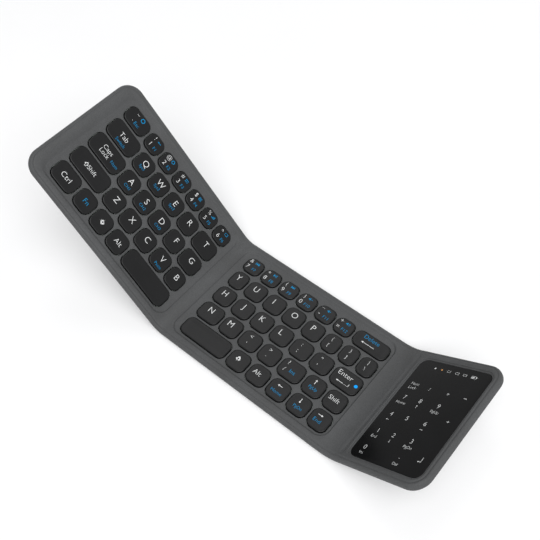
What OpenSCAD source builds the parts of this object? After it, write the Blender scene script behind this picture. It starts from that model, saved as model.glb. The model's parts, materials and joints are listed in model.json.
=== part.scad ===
// Folding keyboard of three leather-covered panels. The left and middle panels carry the keys, the
// right one a touchpad. The middle panel lies on the table, with the origin at the centre of its
// underside, +X to the right, +Y to the back and +Z up. The outer panels are drawn half raised.
// In its own frame a panel starts at its bend line: x runs away from that line, y runs from the
// front edge and z runs up from the underside.

/* [Panels] */
// Depth of every panel, front to back
depth = 98; // [95:0.5:110]
// Middle panel, from bend line to bend line
middle_w = 143.6; // [141:0.1:150]
// Left panel, from its bend line to its outer edge
left_w = 142.1; // [139:0.1:143]
// Right panel, from its bend line to its outer edge
right_w = 74; // [70:0.1:90]
// Radius of the outer corners seen from above
corner_r = 12; // [6:0.5:16]
// Radius of the padded leather edge seen from the side
edge_r = 2.6; // [1:0.1:2.8]

/* [Fold] */
// How far the left panel is raised, degrees
left_raise = 44.4; // [20:0.1:60]
// How far the right panel is raised, degrees
right_raise = 34.0; // [20:0.1:60]
// Half width of the left bend
left_bend_half = 4.6; // [4:0.1:5.5]
// Half width of the right bend
right_bend_half = 6.9; // [6:0.1:7.2]
// Gap between two panels that lie folded on each other
fold_gap = 0.6; // [0.3:0.1:1]
// Height of the panel rim over the key tops
rim_over_keys = 0.3; // [0.1:0.05:0.5]

/* [Layers] */
// Leather of the back cover
back_leather_t = 1.0; // [0.8:0.1:1.5]
// Stiffener board in the back cover
stiffener_t = 0.7; // [0.5:0.1:1]
// Steel plate under the keys
plate_t = 0.4; // [0.3:0.05:0.6]
// Three-layer membrane switch sheet
membrane_t = 0.3; // [0.2:0.05:0.5]
// Plastic lattice that guides the keys
lattice_t = 1.7; // [1.6:0.1:2.2]
// Leather of the key tray
tray_leather_t = 0.9; // [0.7:0.1:1.2]
// Depth of the key tray below the rim
tray_depth = 1.2; // [0.8:0.1:1.6]
// Clearance round the pieces that lie in a panel
fit_gap = 0.2; // [0.1:0.05:0.3]

/* [Tray] */
// Tray edge to the front and back edges of the panel
tray_inset = 6; // [5.5:0.1:6.5]
// Tray edge to the keys at the left panel's outer end and at the left bend
tray_side = 5; // [4:0.1:5.5]
// Corner radius of the tray
tray_r = 8; // [4:0.5:8.5]
// Leather lip between the tray and a bend
tray_lip = 0.4; // [0.3:0.05:0.6]
// Corner radius of the pieces inside a panel
core_r = 2; // [1:0.1:3]
// Wall of the back cover at a bend
bend_wall = 1.0; // [0.8:0.05:1.1]

/* [Keys] */
// Front edge of the panel to the bottom row
key_front = 8.5; // [7.5:0.1:9]
// Leather between two key windows
key_web = 1.3; // [1.1:0.05:1.5]
// Back edge of the panel to the number row
key_back = 9.8; // [9:0.1:11]
// Depth of the number row, as a share of the other rows
number_share = 0.885; // [0.8:0.005:1]
// Corner radius of a key window
window_r = 5; // [4:0.1:5.5]
// Clearance between a key and its window
key_clear = 0.4; // [0.3:0.05:0.5]
// Rounding of the key's upper edge
key_edge_r = 0.7; // [0.4:0.05:0.9]
// Side wall of a key
key_wall = 0.9; // [0.7:0.05:1.1]
// Top wall of a key
key_roof = 0.9; // [0.8:0.05:1.1]
// How far a key travels
key_travel = 1.3; // [1:0.05:1.4]
// Clearance under a pressed key
press_gap = 0.3; // [0.2:0.05:0.4]

/* [Key widths] */
// Letters. Every row of windows is stretched to fill its panel, and these are the widths before that
letter_w = 15.75; // [15:0.05:16]
// Digits
digit_w = 14.8; // [14:0.05:15]
// The two brackets
bracket_w = 13.2; // [12.6:0.05:13.4]
// Esc
esc_w = 21.05; // [20:0.05:22]
// Tab
tab_w = 26.95; // [26.5:0.05:28]
// Caps lock
caps_w = 29.8; // [29:0.05:31]
// Left shift
left_shift_w = 33.05; // [32:0.05:34]
// Ctrl
ctrl_w = 21.3; // [20:0.05:22]
// Backspace
backspace_w = 27.7; // [26.5:0.05:28]
// Backslash
backslash_w = 12.95; // [12.6:0.05:13.4]
// Enter
enter_w = 22; // [21:0.05:23]
// Right shift
right_shift_w = 15.6; // [15:0.05:16]
// Right arrow
right_arrow_w = 15.05; // [14.5:0.05:16]
// T, at the left bend
t_w = 21.2; // [20:0.1:22]
// G, at the left bend
g_w = 18.35; // [17:0.05:19]
// B, at the left bend
b_w = 15.1; // [14:0.1:16]
// Left space bar
left_space_w = 43.9; // [40:0.1:45]
// Y, at the left bend
y_w = 13.3; // [12.8:0.1:13.5]
// P
p_w = 15.3; // [14.5:0.1:15.5]
// N, at the left bend
n_w = 19.0; // [18:0.1:19.5]
// Slash
slash_w = 18.9; // [18:0.1:19]
// Right space bar
right_space_w = 39.75; // [38:0.05:40]

/* [Key places] */
// Left panel: bend line to the keys next to it
left_keys_in = 9.75; // [9.6:0.05:10]
// Left panel: outer edge to the outer keys
left_keys_out = 14.7; // [14.5:0.1:16]
// Middle panel: left bend line to the keys next to it
middle_keys_in = 10.0; // [9.6:0.05:10.2]
// Middle panel: right bend line to the keys next to it
middle_keys_out = 9.3; // [9.2:0.05:9.5]

/* [Key mechanism] */
// Length of a scissor link, as a share of the narrowest key
link_len_share = 0.695; // [0.6:0.005:0.72]
// Width of the outer scissor link, as a share of a key's depth
link_w_share = 0.59; // [0.5:0.005:0.6]
// Width of a link's bars
link_bar = 0.8; // [0.6:0.05:0.9]
// Thickness of a link
link_t = 0.6; // [0.5:0.05:0.7]
// Radius of the pin that joins two links
link_pin_r = 0.22; // [0.18:0.01:0.25]
// Clearance between two links, and round their pin
link_gap = 0.1; // [0.08:0.01:0.15]
// Wall round the cross pin of two links
boss_wall = 0.25; // [0.2:0.01:0.3]
// Radius of a rubber dome at its foot
dome_r = 2.3; // [1.8:0.1:2.4]
// Radius of a rubber dome at its top, as a share of its foot
dome_taper = 0.55; // [0.5:0.01:0.7]
// Wall of a rubber dome
dome_wall = 0.4; // [0.3:0.05:0.5]
// Thickness of a rubber dome's foot
dome_foot_t = 0.3; // [0.2:0.05:0.4]
// A key at least this wide has a steel stabiliser wire
wide_key = 26; // [24:0.5:27]
// Radius of the stabiliser wire
wire_r = 0.4; // [0.3:0.05:0.45]
// Clearance between the stabiliser wire and the key's wall behind it
wire_gap = 0.3; // [0.2:0.05:0.5]

/* [Touchpad] */
// Bend line to the glass
glass_in = 13.6; // [12.5:0.1:14]
// Outer edge of the panel to the glass
glass_out = 5.3; // [5.1:0.05:7]
// Front edge of the panel to the glass
glass_front = 6.25; // [6.2:0.05:7]
// Back edge of the panel to the glass
glass_back = 7.5; // [7:0.1:8]
// Corner radius of the glass
glass_r = 5.5; // [4:0.1:6]
// Thickness of the glass
glass_t = 1.0; // [0.8:0.05:1.2]
// Depth of the glass below the rim
glass_sunk = 0.7; // [0.5:0.05:0.9]
// Width of the step round the glass
step_w = 1.3; // [0.8:0.1:1.5]
// Depth of the step round the glass
step_depth = 0.5; // [0.2:0.05:0.6]
// Ledge that carries the edge of the glass
glass_ledge = 1.5; // [1:0.1:2]
// Thickness of the circuit boards
board_t = 0.8; // [0.6:0.05:1]
// Height of the posts under the main board
post_h = 0.5; // [0.4:0.05:0.6]
// Radius of the posts under the main board
post_r = 1.5; // [1:0.1:2]
// Main board, front to back
board_d = 24; // [22:0.5:25]
// Outer edge of the panel to the pieces inside it
right_core_out = 4.6; // [4.2:0.1:5]
// Corner radius of the well under the glass
well_r = 4; // [3:0.1:4.5]
// Edge of the glass to the light block behind it
lights_side = 10.5; // [9:0.1:12]
// Light block, front to back
lights_d = 5; // [4:0.1:6]
// Slot between two lamps of the light block
lights_slot = 0.8; // [0.6:0.05:1]

/* [Battery and socket] */
// Side of the well to the battery
battery_side = 7; // [4:0.5:10]
// Main board to the battery
battery_back = 6; // [4:0.5:10]
// Battery thickness
battery_t = 1.8; // [1.4:0.05:1.85]
// Front of the well to the battery
battery_front = 5; // [2:0.5:6]
// Charging socket, left to right
socket_w = 8.94; // [8.9:0.01:9]
// Charging socket, height
socket_h = 3.16; // [3.1:0.01:3.2]
// Charging socket, front to back
socket_d = 6.5; // [6:0.1:6.6]
// Sheet of the socket's shell
socket_sheet = 0.3; // [0.2:0.05:0.35]
// Panel's back edge to the socket's mouth
socket_sunk = 0.7; // [0.6:0.05:1]
// Contact tongue, left to right
tongue_w = 6.6; // [6:0.1:6.8]
// Contact tongue, height
tongue_t = 0.7; // [0.6:0.05:0.8]
// Clearance round the socket
socket_gap = 0.1; // [0.05:0.01:0.15]

/* [Magnets and ribbon cables] */
// Magnet, left to right
magnet_w = 12; // [8:0.5:15]
// Magnet, front to back
magnet_d = 2.6; // [2:0.1:2.8]
// Magnet, height
magnet_h = 2.0; // [1.5:0.1:2.2]
// Magnet's centre to the back edge of the panel
magnet_back = 3.6; // [3.5:0.1:3.8]
// Clearance round a magnet
magnet_gap = 0.1; // [0.05:0.01:0.15]
// First magnet from the left bend line, as a share of the middle panel
magnet_near = 0.21; // [0.18:0.01:0.25]
// Second magnet from the left bend line, as a share of the middle panel
magnet_far = 0.82; // [0.8:0.01:0.84]
// Width of the left ribbon cable
left_ribbon_w = 18; // [10:0.5:24]
// Width of the right ribbon cable
right_ribbon_w = 16; // [10:0.5:18]
// Thickness of the ribbon cables
ribbon_t = 0.2; // [0.15:0.05:0.25]
// Clearance between a ribbon cable and the leather strips of its bend
ribbon_gap = 0.4; // [0.2:0.05:0.5]
// Clearance over and under a ribbon cable in its slot
slot_gap = 0.25; // [0.15:0.01:0.3]

/* [Hidden] */
$fn = 64;

// Colours
leather_grey = "#5d5f62";
key_black = "#2b2c2e";
glass_black = "#1b1c1e";
board_green = "#1f5a3a";
steel = "silver";
rubber = "#d9d9d4";
ribbon_amber = "#b9772a";
plastic = "#3a3b3d";

// Clearance that keeps two faces from touching
hair_gap = 0.05;

// Heights over a panel's underside
stiffener_z = back_leather_t;
plate_z = stiffener_z + stiffener_t;
membrane_z = plate_z + plate_t;
lattice_z = membrane_z + membrane_t;
split_z = lattice_z + lattice_t;
tray_z = split_z + tray_leather_t;
panel_t = tray_z + tray_depth;
key_z = panel_t - rim_over_keys;
key_bottom_z = lattice_z + press_gap + key_travel;
roof_z = key_z - key_roof;

// Fold axes over the key tops: the left panel folds first, the right one folds over it
left_axis_h = rim_over_keys + fold_gap / 2;
right_axis_h = left_axis_h + (panel_t + fold_gap) / 2;
left_bend_r = left_bend_half / tan(left_raise / 2) + key_z;
right_bend_r = right_bend_half / tan(right_raise / 2) + key_z;

// Rows of keys, from the bottom one up
left_keys_w = left_w - left_keys_out - left_keys_in;
middle_keys_w = middle_w - middle_keys_in - middle_keys_out;
digits = [for (i = [1:6]) digit_w];
letters = [for (i = [1:4]) letter_w];
left_rows = [
    [ctrl_w, letter_w, letter_w, letter_w, left_space_w],
    concat([left_shift_w], letters, [b_w]),
    concat([caps_w], letters, [g_w]),
    concat([tab_w], letters, [t_w]),
    concat([esc_w], digits)
];
middle_rows = [
    concat([right_space_w], letters, [right_arrow_w]),
    [n_w, letter_w, letter_w, letter_w, slash_w, letter_w, right_shift_w],
    concat([letter_w, letter_w], letters, [enter_w]),
    [y_w, letter_w, letter_w, letter_w, p_w, bracket_w, bracket_w, backslash_w],
    concat(digits, [backspace_w])
];
last_row = len(left_rows) - 1;
function hundredth(size) = round(100 * size) / 100;
key_d = hundredth((depth - key_front - key_back - key_web * last_row)
                  / (last_row + number_share));
number_d = hundredth(key_d * number_share);

function total(v, n) = n <= 0 ? 0 : v[n - 1] + total(v, n - 1);
function filled(row, width) = let (
    stretch = (width - key_web * (len(row) - 1)) / total(row, len(row))
) [for (w = row) hundredth(w * stretch)];
function start(row, i) = total(row, i) + key_web * i;
function row_y(r) = key_front + r * (key_d + key_web);
function row_d(r) = r == last_row ? number_d : key_d;

left_keys_x = left_keys_out - left_w;
left_filled = [for (row = left_rows) filled(row, left_keys_w)];
middle_filled = [for (row = middle_rows) filled(row, middle_keys_w)];
narrowest = min([for (row = concat(left_filled, middle_filled)) min(row)]);

// Where the pieces in each panel lie: first x, last x
left_core = [left_keys_x - tray_side, -left_bend_half - bend_wall];
middle_core = [left_bend_half + bend_wall, middle_w - right_bend_half - bend_wall];
right_core = [right_bend_half + bend_wall, right_w - right_core_out];
core_d = depth - 2 * tray_inset;

// Touchpad panel
glass_w = right_w - glass_in - glass_out;
glass_d = depth - glass_front - glass_back;
glass_z = panel_t - glass_sunk - glass_t;
well = [glass_in + glass_ledge, glass_front + glass_ledge];
well_w = glass_w - 2 * glass_ledge;
well_d = glass_d - 2 * glass_ledge;
board_z = plate_z + post_h;
board_y = well[1] + well_d - fit_gap - board_d;
board_neck_w = 8;
battery_w = well_w - 2 * battery_side;
battery_d = board_y - well[1] - battery_front - battery_back;
lights_w = glass_w - 2 * lights_side;
socket_x = glass_in + glass_w / 2;
socket_y = depth - socket_sunk - socket_d;
socket_z = plate_z + hair_gap;
// Chips on the main board: place as a share of its width, y, width and depth, and their height
chips = [[0.12, 2, 7, 7], [0.33, 3, 5, 5], [0.58, 2, 9, 6], [0.82, 3, 4, 4]];
chip_h = 0.6;

// Ribbon cables: each ends short of the keys, its slot a little nearer to them
ribbon_z = lattice_z + hair_gap;
left_ribbon_y = (depth - left_ribbon_w) / 2;
right_ribbon_y = board_y + 3;
ribbon_steps = 16;
ribbon_stop = 1.3;
slot_stop = 1;
slot_side = 0.5;

// Magnets. The right panel's one meets the left panel's far one when both are folded.
magnet_x = [for (share = [magnet_near, magnet_far]) hundredth(share * middle_w)];
right_magnet_x = middle_w - magnet_x[1];

// ---- Frames of the panels

module on_middle() translate([-middle_w / 2, -depth / 2, 0]) children();

module on_left() translate([-middle_w / 2, -depth / 2, key_z])
    rotate([0, left_raise, 0]) translate([0, 0, -key_z]) children();

module on_right() translate([middle_w / 2, -depth / 2, key_z])
    rotate([0, -right_raise, 0]) translate([0, 0, -key_z]) children();

// ---- Shapes that repeat

module rounded_rect(w, d, r) {
    translate([r, 0]) square([w - 2 * r, d]);
    translate([0, r]) square([w, d - 2 * r]);
    for (x = [r, w - r], y = [r, d - r]) translate([x, y]) circle(r);
}

module rounded_plate(w, d, t, r) linear_extrude(t) rounded_rect(w, d, r);

// Side profile from x = 0 out to x = w, with its outer corners rounded above and below
module edge_profile(w, h, top_r, bottom_r) {
    translate([0, bottom_r]) square([w, h - top_r - bottom_r]);
    translate([0, h - top_r]) square([w - top_r, top_r]);
    translate([w - top_r, h - top_r]) circle(top_r);
    if (bottom_r > 0) {
        square([w - bottom_r, bottom_r]);
        translate([w - bottom_r, bottom_r]) circle(bottom_r);
    }
}

module both_sides_profile(w, h, top_r, bottom_r)
    translate([w / 2, 0]) for (side = [0, 1])
        mirror([side, 0]) edge_profile(w / 2, h, top_r, bottom_r);

// Block with corners of radius r from above and rounded edges all round
module rounded_block(w, d, h, r, top_r, bottom_r) {
    translate([0, d - r, 0]) rotate([90, 0, 0])
        linear_extrude(d - 2 * r) both_sides_profile(w, h, top_r, bottom_r);
    translate([r, 0, 0]) rotate([90, 0, 90])
        linear_extrude(w - 2 * r) both_sides_profile(d, h, top_r, bottom_r);
    for (corner = [[w - r, d - r, 0], [r, d - r, 90], [r, r, 180], [w - r, r, 270]])
        translate([corner[0], corner[1], 0]) rotate([0, 0, corner[2]])
            rotate_extrude(angle = 90) edge_profile(r, h, top_r, bottom_r);
}

// Padded leather panel from x0 to x1. It runs on flat past an end that meets a bend.
module padded_panel(x0, x1, z0, z1, bend_at_x0, bend_at_x1) {
    from = x0 - (bend_at_x0 ? 2 * corner_r : 0);
    to = x1 + (bend_at_x1 ? 2 * corner_r : 0);
    intersection() {
        translate([from, 0, 0])
            rounded_block(to - from, depth, panel_t, corner_r, edge_r, edge_r);
        translate([x0, -1, z0]) cube([x1 - x0, depth + 2, z1 - z0]);
    }
}

// ---- Keys

module place_window(panel_x, rows, r, i)
    translate([panel_x + start(rows[r], i), row_y(r), 0]) children();

module windows(panel_x, rows, z0, z1)
    for (r = [0:last_row], i = [0:len(rows[r]) - 1])
        place_window(panel_x, rows, r, i) translate([0, 0, z0])
            rounded_plate(rows[r][i], row_d(r), z1 - z0, window_r);

module key(w, d) difference() {
    translate([key_clear, key_clear, key_bottom_z])
        rounded_block(w - 2 * key_clear, d - 2 * key_clear, key_z - key_bottom_z,
                      window_r - key_clear, key_edge_r, 0);
    translate([key_clear + key_wall, key_clear + key_wall, key_bottom_z - 1])
        rounded_plate(w - 2 * (key_clear + key_wall), d - 2 * (key_clear + key_wall),
                      roof_z - key_bottom_z + 1, window_r - key_clear - key_wall);
}

module left_keys(r, keys) color(key_black) on_left() for (i = keys)
    place_window(left_keys_x, left_filled, r, i) key(left_filled[r][i], row_d(r));

module middle_keys(r, keys) color(key_black) on_middle() for (i = keys)
    place_window(middle_keys_in, middle_filled, r, i) key(middle_filled[r][i], row_d(r));

module esc_key() left_keys(4, [0]);
module left_digit_keys() left_keys(4, [1:6]);
module tab_key() left_keys(3, [0]);
module left_upper_letter_keys() left_keys(3, [1:5]);
module caps_lock_key() left_keys(2, [0]);
module left_home_letter_keys() left_keys(2, [1:5]);
module left_shift_key() left_keys(1, [0]);
module left_lower_letter_keys() left_keys(1, [1:5]);
module ctrl_key() left_keys(0, [0]);
module fn_key() left_keys(0, [1]);
module left_modifier_keys() left_keys(0, [2:3]);
module left_space_key() left_keys(0, [4]);
module right_digit_keys() middle_keys(4, [0:5]);
module backspace_key() middle_keys(4, [6]);
module right_upper_letter_keys() middle_keys(3, [0:7]);
module right_home_letter_keys() middle_keys(2, [0:5]);
module enter_key() middle_keys(2, [6]);
module right_lower_letter_keys() middle_keys(1, [0:4]);
module up_arrow_key() middle_keys(1, [5]);
module right_shift_key() middle_keys(1, [6]);
module right_space_key() middle_keys(0, [0]);
module right_modifier_keys() middle_keys(0, [1:2]);
module left_arrow_key() middle_keys(0, [3]);
module down_arrow_key() middle_keys(0, [4]);
module right_arrow_key() middle_keys(0, [5]);

// ---- Key mechanism: two crossed links, a rubber dome and, on wide keys, a stabiliser wire

link_len = hundredth(link_len_share * narrowest);
link_w = hundredth(link_w_share * key_d);
link_rise = roof_z - lattice_z - link_t - 2 * link_gap;
link_tilt = asin(link_rise / link_len);
link_mid_z = (roof_z + lattice_z) / 2;
link_reach = (link_len * cos(link_tilt) + link_t * sin(link_tilt)) / 2;
slot_y = link_w / 2 - link_bar;
boss_r = link_pin_r + link_gap + boss_wall;

// A link is a rectangular loop that lies round its centre, with bosses on the cross pin's axis
module link_loop(w) {
    difference() {
        translate([-link_len / 2, -w / 2, -link_t / 2]) cube([link_len, w, link_t]);
        translate([link_bar - link_len / 2, link_bar - w / 2, -link_t])
            cube([link_len - 2 * link_bar, w - 2 * link_bar, 2 * link_t]);
    }
    for (y = [-w / 2, w / 2 - link_bar])
        translate([0, y, 0]) rotate([-90, 0, 0]) cylinder(h = link_bar, r = boss_r);
}

module scissor() {
    inner_w = link_w - 2 * link_bar - 6 * link_gap;
    pin_len = 0.7 * link_bar + 3 * link_gap;
    rotate([0, link_tilt, 0]) difference() {
        link_loop(link_w);
        translate([0, -link_w, 0]) rotate([-90, 0, 0])
            cylinder(h = 2 * link_w, r = link_pin_r + link_gap);
    }
    rotate([0, -link_tilt, 0]) {
        link_loop(inner_w);
        for (side = [0, 180]) rotate([0, 0, side]) translate([0, inner_w / 2, 0])
            rotate([-90, 0, 0]) cylinder(h = pin_len, r = link_pin_r);
    }
}

module rubber_dome() {
    h = roof_z - lattice_z - 2 * hair_gap;
    cone_h = h - 1.2 * dome_wall;
    cone_r = dome_r - dome_wall / 2;
    top_r = dome_taper * dome_r;
    difference() {
        union() {
            cylinder(h = dome_foot_t, r = dome_r);
            cylinder(h = cone_h, r1 = cone_r, r2 = top_r);
            cylinder(h = h, r = top_r);
        }
        translate([0, 0, -0.01])
            cylinder(h = cone_h - dome_wall, r1 = cone_r - dome_wall, r2 = top_r - dome_wall);
    }
}

// Steel wire that keeps a wide key level: a long bar behind the scissor with an arm at each end
module stabiliser(w, d) {
    bar_y = d / 2 - key_clear - key_wall - wire_r - wire_gap;
    reach = w / 2 - key_clear - key_wall - wire_r - 4 * wire_gap;
    arm = 2 * bar_y - 4 * wire_r;
    translate([-reach, bar_y, 0]) rotate([0, 90, 0]) cylinder(h = 2 * reach, r = wire_r);
    for (x = [-reach, reach]) {
        translate([x, bar_y, 0]) sphere(wire_r);
        translate([x, bar_y - arm, 0]) rotate([-90, 0, 0]) cylinder(h = arm, r = wire_r);
    }
}

module at_key_centres(panel_x, rows)
    for (r = [0:last_row], i = [0:len(rows[r]) - 1]) {
        $key_w = rows[r][i];
        $key_d = row_d(r);
        place_window(panel_x, rows, r, i) translate([$key_w / 2, $key_d / 2, 0]) children();
    }

module domes(panel_x, rows) color(rubber) at_key_centres(panel_x, rows)
    translate([0, 0, lattice_z]) rubber_dome();

module scissors(panel_x, rows) color(plastic) at_key_centres(panel_x, rows) {
    translate([0, 0, link_mid_z]) scissor();
    if ($key_w >= wide_key)
        translate([0, 0, lattice_z + wire_r + link_gap]) stabiliser($key_w, $key_d);
}

module left_rubber_domes() on_left() domes(left_keys_x, left_filled);
module left_scissor_links() on_left() scissors(left_keys_x, left_filled);
module middle_rubber_domes() on_middle() domes(middle_keys_in, middle_filled);
module middle_scissor_links() on_middle() scissors(middle_keys_in, middle_filled);

// ---- Layers of the two key panels

module core_plate(core, z, t) translate([core[0] + fit_gap, tray_inset + fit_gap, z])
    rounded_plate(core[1] - core[0] - 2 * fit_gap, core_d - 2 * fit_gap, t, core_r);

module magnet(x, clear) translate([x - magnet_w / 2 - clear,
        depth - magnet_back - magnet_d / 2 - clear, split_z - magnet_h - clear - hair_gap])
    cube([magnet_w + 2 * clear, magnet_d + 2 * clear, magnet_h + clear + (clear > 0 ? 1 : 0)]);

// The ribbon cable's slot through the wall and the lattice beside a bend
module ribbon_slot(x0, x1, y, w)
    translate([x0, y - slot_side, ribbon_z - slot_gap])
        cube([x1 - x0, w + 2 * slot_side, ribbon_t + 2 * slot_gap]);

module back_cover(x0, x1, core, bend0, bend1) difference() {
    padded_panel(x0, x1, 0, split_z, bend0, bend1);
    translate([core[0], tray_inset, back_leather_t])
        rounded_plate(core[1] - core[0], core_d, panel_t, core_r);
}

module top_cover(x0, x1, keys_x, rows, tray_x0, tray_x1, bend0, bend1) difference() {
    padded_panel(x0, x1, split_z, panel_t, bend0, bend1);
    translate([tray_x0, tray_inset, tray_z])
        rounded_plate(tray_x1 - tray_x0, core_d, panel_t, tray_r);
    windows(keys_x, rows, split_z - 1, panel_t);
}

module key_lattice(core, keys_x, rows) difference() {
    core_plate(core, lattice_z, lattice_t);
    windows(keys_x, rows, lattice_z - 1, panel_t);
}

module left_back_cover() color(leather_grey) on_left() difference() {
    back_cover(-left_w, -left_bend_half, left_core, false, true);
    ribbon_slot(left_core[1] - 1, 0, left_ribbon_y, left_ribbon_w);
    for (x = magnet_x) magnet(-x, magnet_gap);
}

module left_top_cover() color(leather_grey) on_left()
    top_cover(-left_w, -left_bend_half, left_keys_x, left_filled,
              left_keys_x - tray_side, -left_bend_half - tray_lip, false, true);

// Steel plate with two slots under every key, through which its links are held down
module support_plate(core, panel_x, rows) difference() {
    core_plate(core, plate_z, plate_t);
    at_key_centres(panel_x, rows) for (side = [0, 180]) rotate([0, 0, side])
        translate([link_reach - 2 * link_bar, -slot_y, plate_z - 1])
            cube([link_bar, 2 * slot_y, plate_t + 2]);
}

module left_stiffener() color(steel) on_left() core_plate(left_core, stiffener_z, stiffener_t);
module left_support_plate() color(steel) on_left()
    support_plate(left_core, left_keys_x, left_filled);
module left_membrane() color(rubber) on_left() core_plate(left_core, membrane_z, membrane_t);

module left_key_lattice() color(plastic) on_left() difference() {
    key_lattice(left_core, left_keys_x, left_filled);
    ribbon_slot(-left_keys_in + slot_stop, 0, left_ribbon_y, left_ribbon_w);
}

module left_magnets() color(steel) on_left() for (x = magnet_x) magnet(-x, 0);

module middle_back_cover() color(leather_grey) on_middle() difference() {
    back_cover(left_bend_half, middle_w - right_bend_half, middle_core, true, true);
    ribbon_slot(0, middle_core[0] + 1, left_ribbon_y, left_ribbon_w);
    ribbon_slot(middle_core[1] - 1, middle_w, right_ribbon_y, right_ribbon_w);
    for (x = magnet_x) magnet(x, magnet_gap);
}

module middle_top_cover() color(leather_grey) on_middle()
    top_cover(left_bend_half, middle_w - right_bend_half, middle_keys_in, middle_filled,
              left_bend_half + tray_lip, middle_w - right_bend_half - tray_lip, true, true);

module middle_stiffener() color(steel) on_middle()
    core_plate(middle_core, stiffener_z, stiffener_t);
module middle_support_plate() color(steel) on_middle()
    support_plate(middle_core, middle_keys_in, middle_filled);
module middle_membrane() color(rubber) on_middle()
    core_plate(middle_core, membrane_z, membrane_t);

module middle_key_lattice() color(plastic) on_middle() difference() {
    key_lattice(middle_core, middle_keys_in, middle_filled);
    ribbon_slot(0, middle_keys_in - slot_stop, left_ribbon_y, left_ribbon_w);
    ribbon_slot(middle_core[1] - 1, middle_w, right_ribbon_y, right_ribbon_w);
}

module middle_magnets() color(steel) on_middle() for (x = magnet_x) magnet(x, 0);

// ---- Touchpad panel

module glass_plate(grow, z, t) translate([glass_in - grow, glass_front - grow, z])
    rounded_plate(glass_w + 2 * grow, glass_d + 2 * grow, t, glass_r + grow);

// The socket's outline, upright at the back edge and running to the front
module socket_outline(grow, y0, y1)
    translate([socket_x - socket_w / 2 - grow, y1, socket_z - grow]) rotate([90, 0, 0])
        linear_extrude(y1 - y0) rounded_rect(socket_w + 2 * grow, socket_h + 2 * grow,
                                             socket_h / 2 + grow - 0.01);

module right_back_cover() color(leather_grey) on_right() difference() {
    back_cover(right_bend_half, right_w, right_core, true, false);
    ribbon_slot(0, right_core[0] + 1, right_ribbon_y, right_ribbon_w);
    socket_outline(socket_gap, socket_y - 2, depth + 1);
    magnet(right_magnet_x, magnet_gap);
}

module right_top_cover() color(leather_grey) on_right() difference() {
    padded_panel(right_bend_half, right_w, split_z, panel_t, true, false);
    glass_plate(fit_gap, split_z - 1, panel_t);
    glass_plate(step_w, panel_t - step_depth, panel_t);
    socket_outline(socket_gap, socket_y - 2, depth + 1);
}

module right_magnet() color(steel) on_right() magnet(right_magnet_x, 0);

module right_stiffener() color(steel) on_right() {
    core_plate(right_core, stiffener_z, stiffener_t);
    for (x = [0.08, 0.5, 0.92], y = [0.12, 0.88])
        translate([well[0] + x * well_w, board_y + y * board_d, plate_z])
            cylinder(h = post_h, r = post_r);
}

module touchpad_frame() color(plastic) on_right() difference() {
    union() {
        core_plate(right_core, plate_z, split_z - plate_z);
        glass_plate(0, plate_z, glass_z - plate_z);
    }
    translate([well[0], well[1], plate_z - 1]) rounded_plate(well_w, well_d, panel_t, well_r);
    ribbon_slot(0, well[0] + 1, right_ribbon_y, right_ribbon_w);
    socket_outline(3 * socket_gap, socket_y - 3, depth);
}

module touchpad_glass() color(glass_black) on_right() glass_plate(0, glass_z, glass_t);

module touchpad_sensor() color(board_green) on_right()
    translate([well[0] + fit_gap, well[1] + fit_gap, glass_z - board_t])
        rounded_plate(well_w - 2 * fit_gap, board_y - well[1] + board_d / 2, board_t,
                      well_r - fit_gap);

// Clear block of light guides that carries six indicator lamps behind the glass
module indicator_lights() color("white") on_right()
    translate([glass_in + lights_side, board_y + board_d - 8, board_z + board_t]) difference() {
        cube([lights_w, lights_d, glass_z - board_z - board_t]);
        for (i = [1:5]) translate([(i * lights_w - 3 * lights_slot) / 6, -1, chip_h])
            cube([lights_slot, lights_d + 2, panel_t]);
    }

module main_board() color(board_green) on_right() {
    translate([well[0] + fit_gap, board_y, board_z])
        rounded_plate(well_w - 2 * fit_gap, board_d, board_t, well_r - fit_gap);
    translate([socket_x - board_neck_w / 2, board_y + board_d - 2, board_z])
        cube([board_neck_w, socket_y - board_y - board_d + 2, board_t]);
    for (chip = chips) translate([well[0] + chip[0] * well_w, board_y + chip[1], board_z + board_t])
        cube([chip[2], chip[3], chip_h]);
}

module battery() color("#8d9093") on_right()
    translate([glass_in + (glass_w - battery_w) / 2, well[1] + battery_front, plate_z])
        rounded_plate(battery_w, battery_d, battery_t, core_r);

module usb_socket() color(steel) on_right() {
    difference() {
        socket_outline(0, socket_y, socket_y + socket_d);
        socket_outline(-socket_sheet, socket_y + 1, socket_y + socket_d + 1);
    }
    translate([socket_x - tongue_w / 2, socket_y + 0.5, socket_z + (socket_h - tongue_t) / 2])
        cube([tongue_w, socket_d - 1.2, tongue_t]);
}

// ---- Bends: two strips of leather with a ribbon cable between them

// Sweep a profile of the panel's section, from z0 to z1, round a bend's centre
module bend_arc(radius, from, sweep, y0, y1, z0, z1)
    rotate([90, 0, 0]) rotate([0, 0, from]) rotate_extrude(angle = sweep) intersection() {
        translate([radius, -depth]) rotate([0, 0, 90])
            both_sides_profile(depth, panel_t, edge_r, edge_r);
        translate([radius - z1, -y1]) square([z1 - z0, y1 - y0]);
    }

module left_bend(y0, y1, z0, z1) on_middle() translate([left_bend_half, 0, left_bend_r])
    bend_arc(left_bend_r, 270 - left_raise, left_raise, y0, y1, z0, z1);

module right_bend(y0, y1, z0, z1) on_middle()
    translate([middle_w - right_bend_half, 0, right_bend_r])
        bend_arc(right_bend_r, 270, right_raise, y0, y1, z0, z1);

bend_outer_z = ribbon_z - ribbon_gap;
bend_inner_z = ribbon_z + ribbon_t + ribbon_gap;

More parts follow.
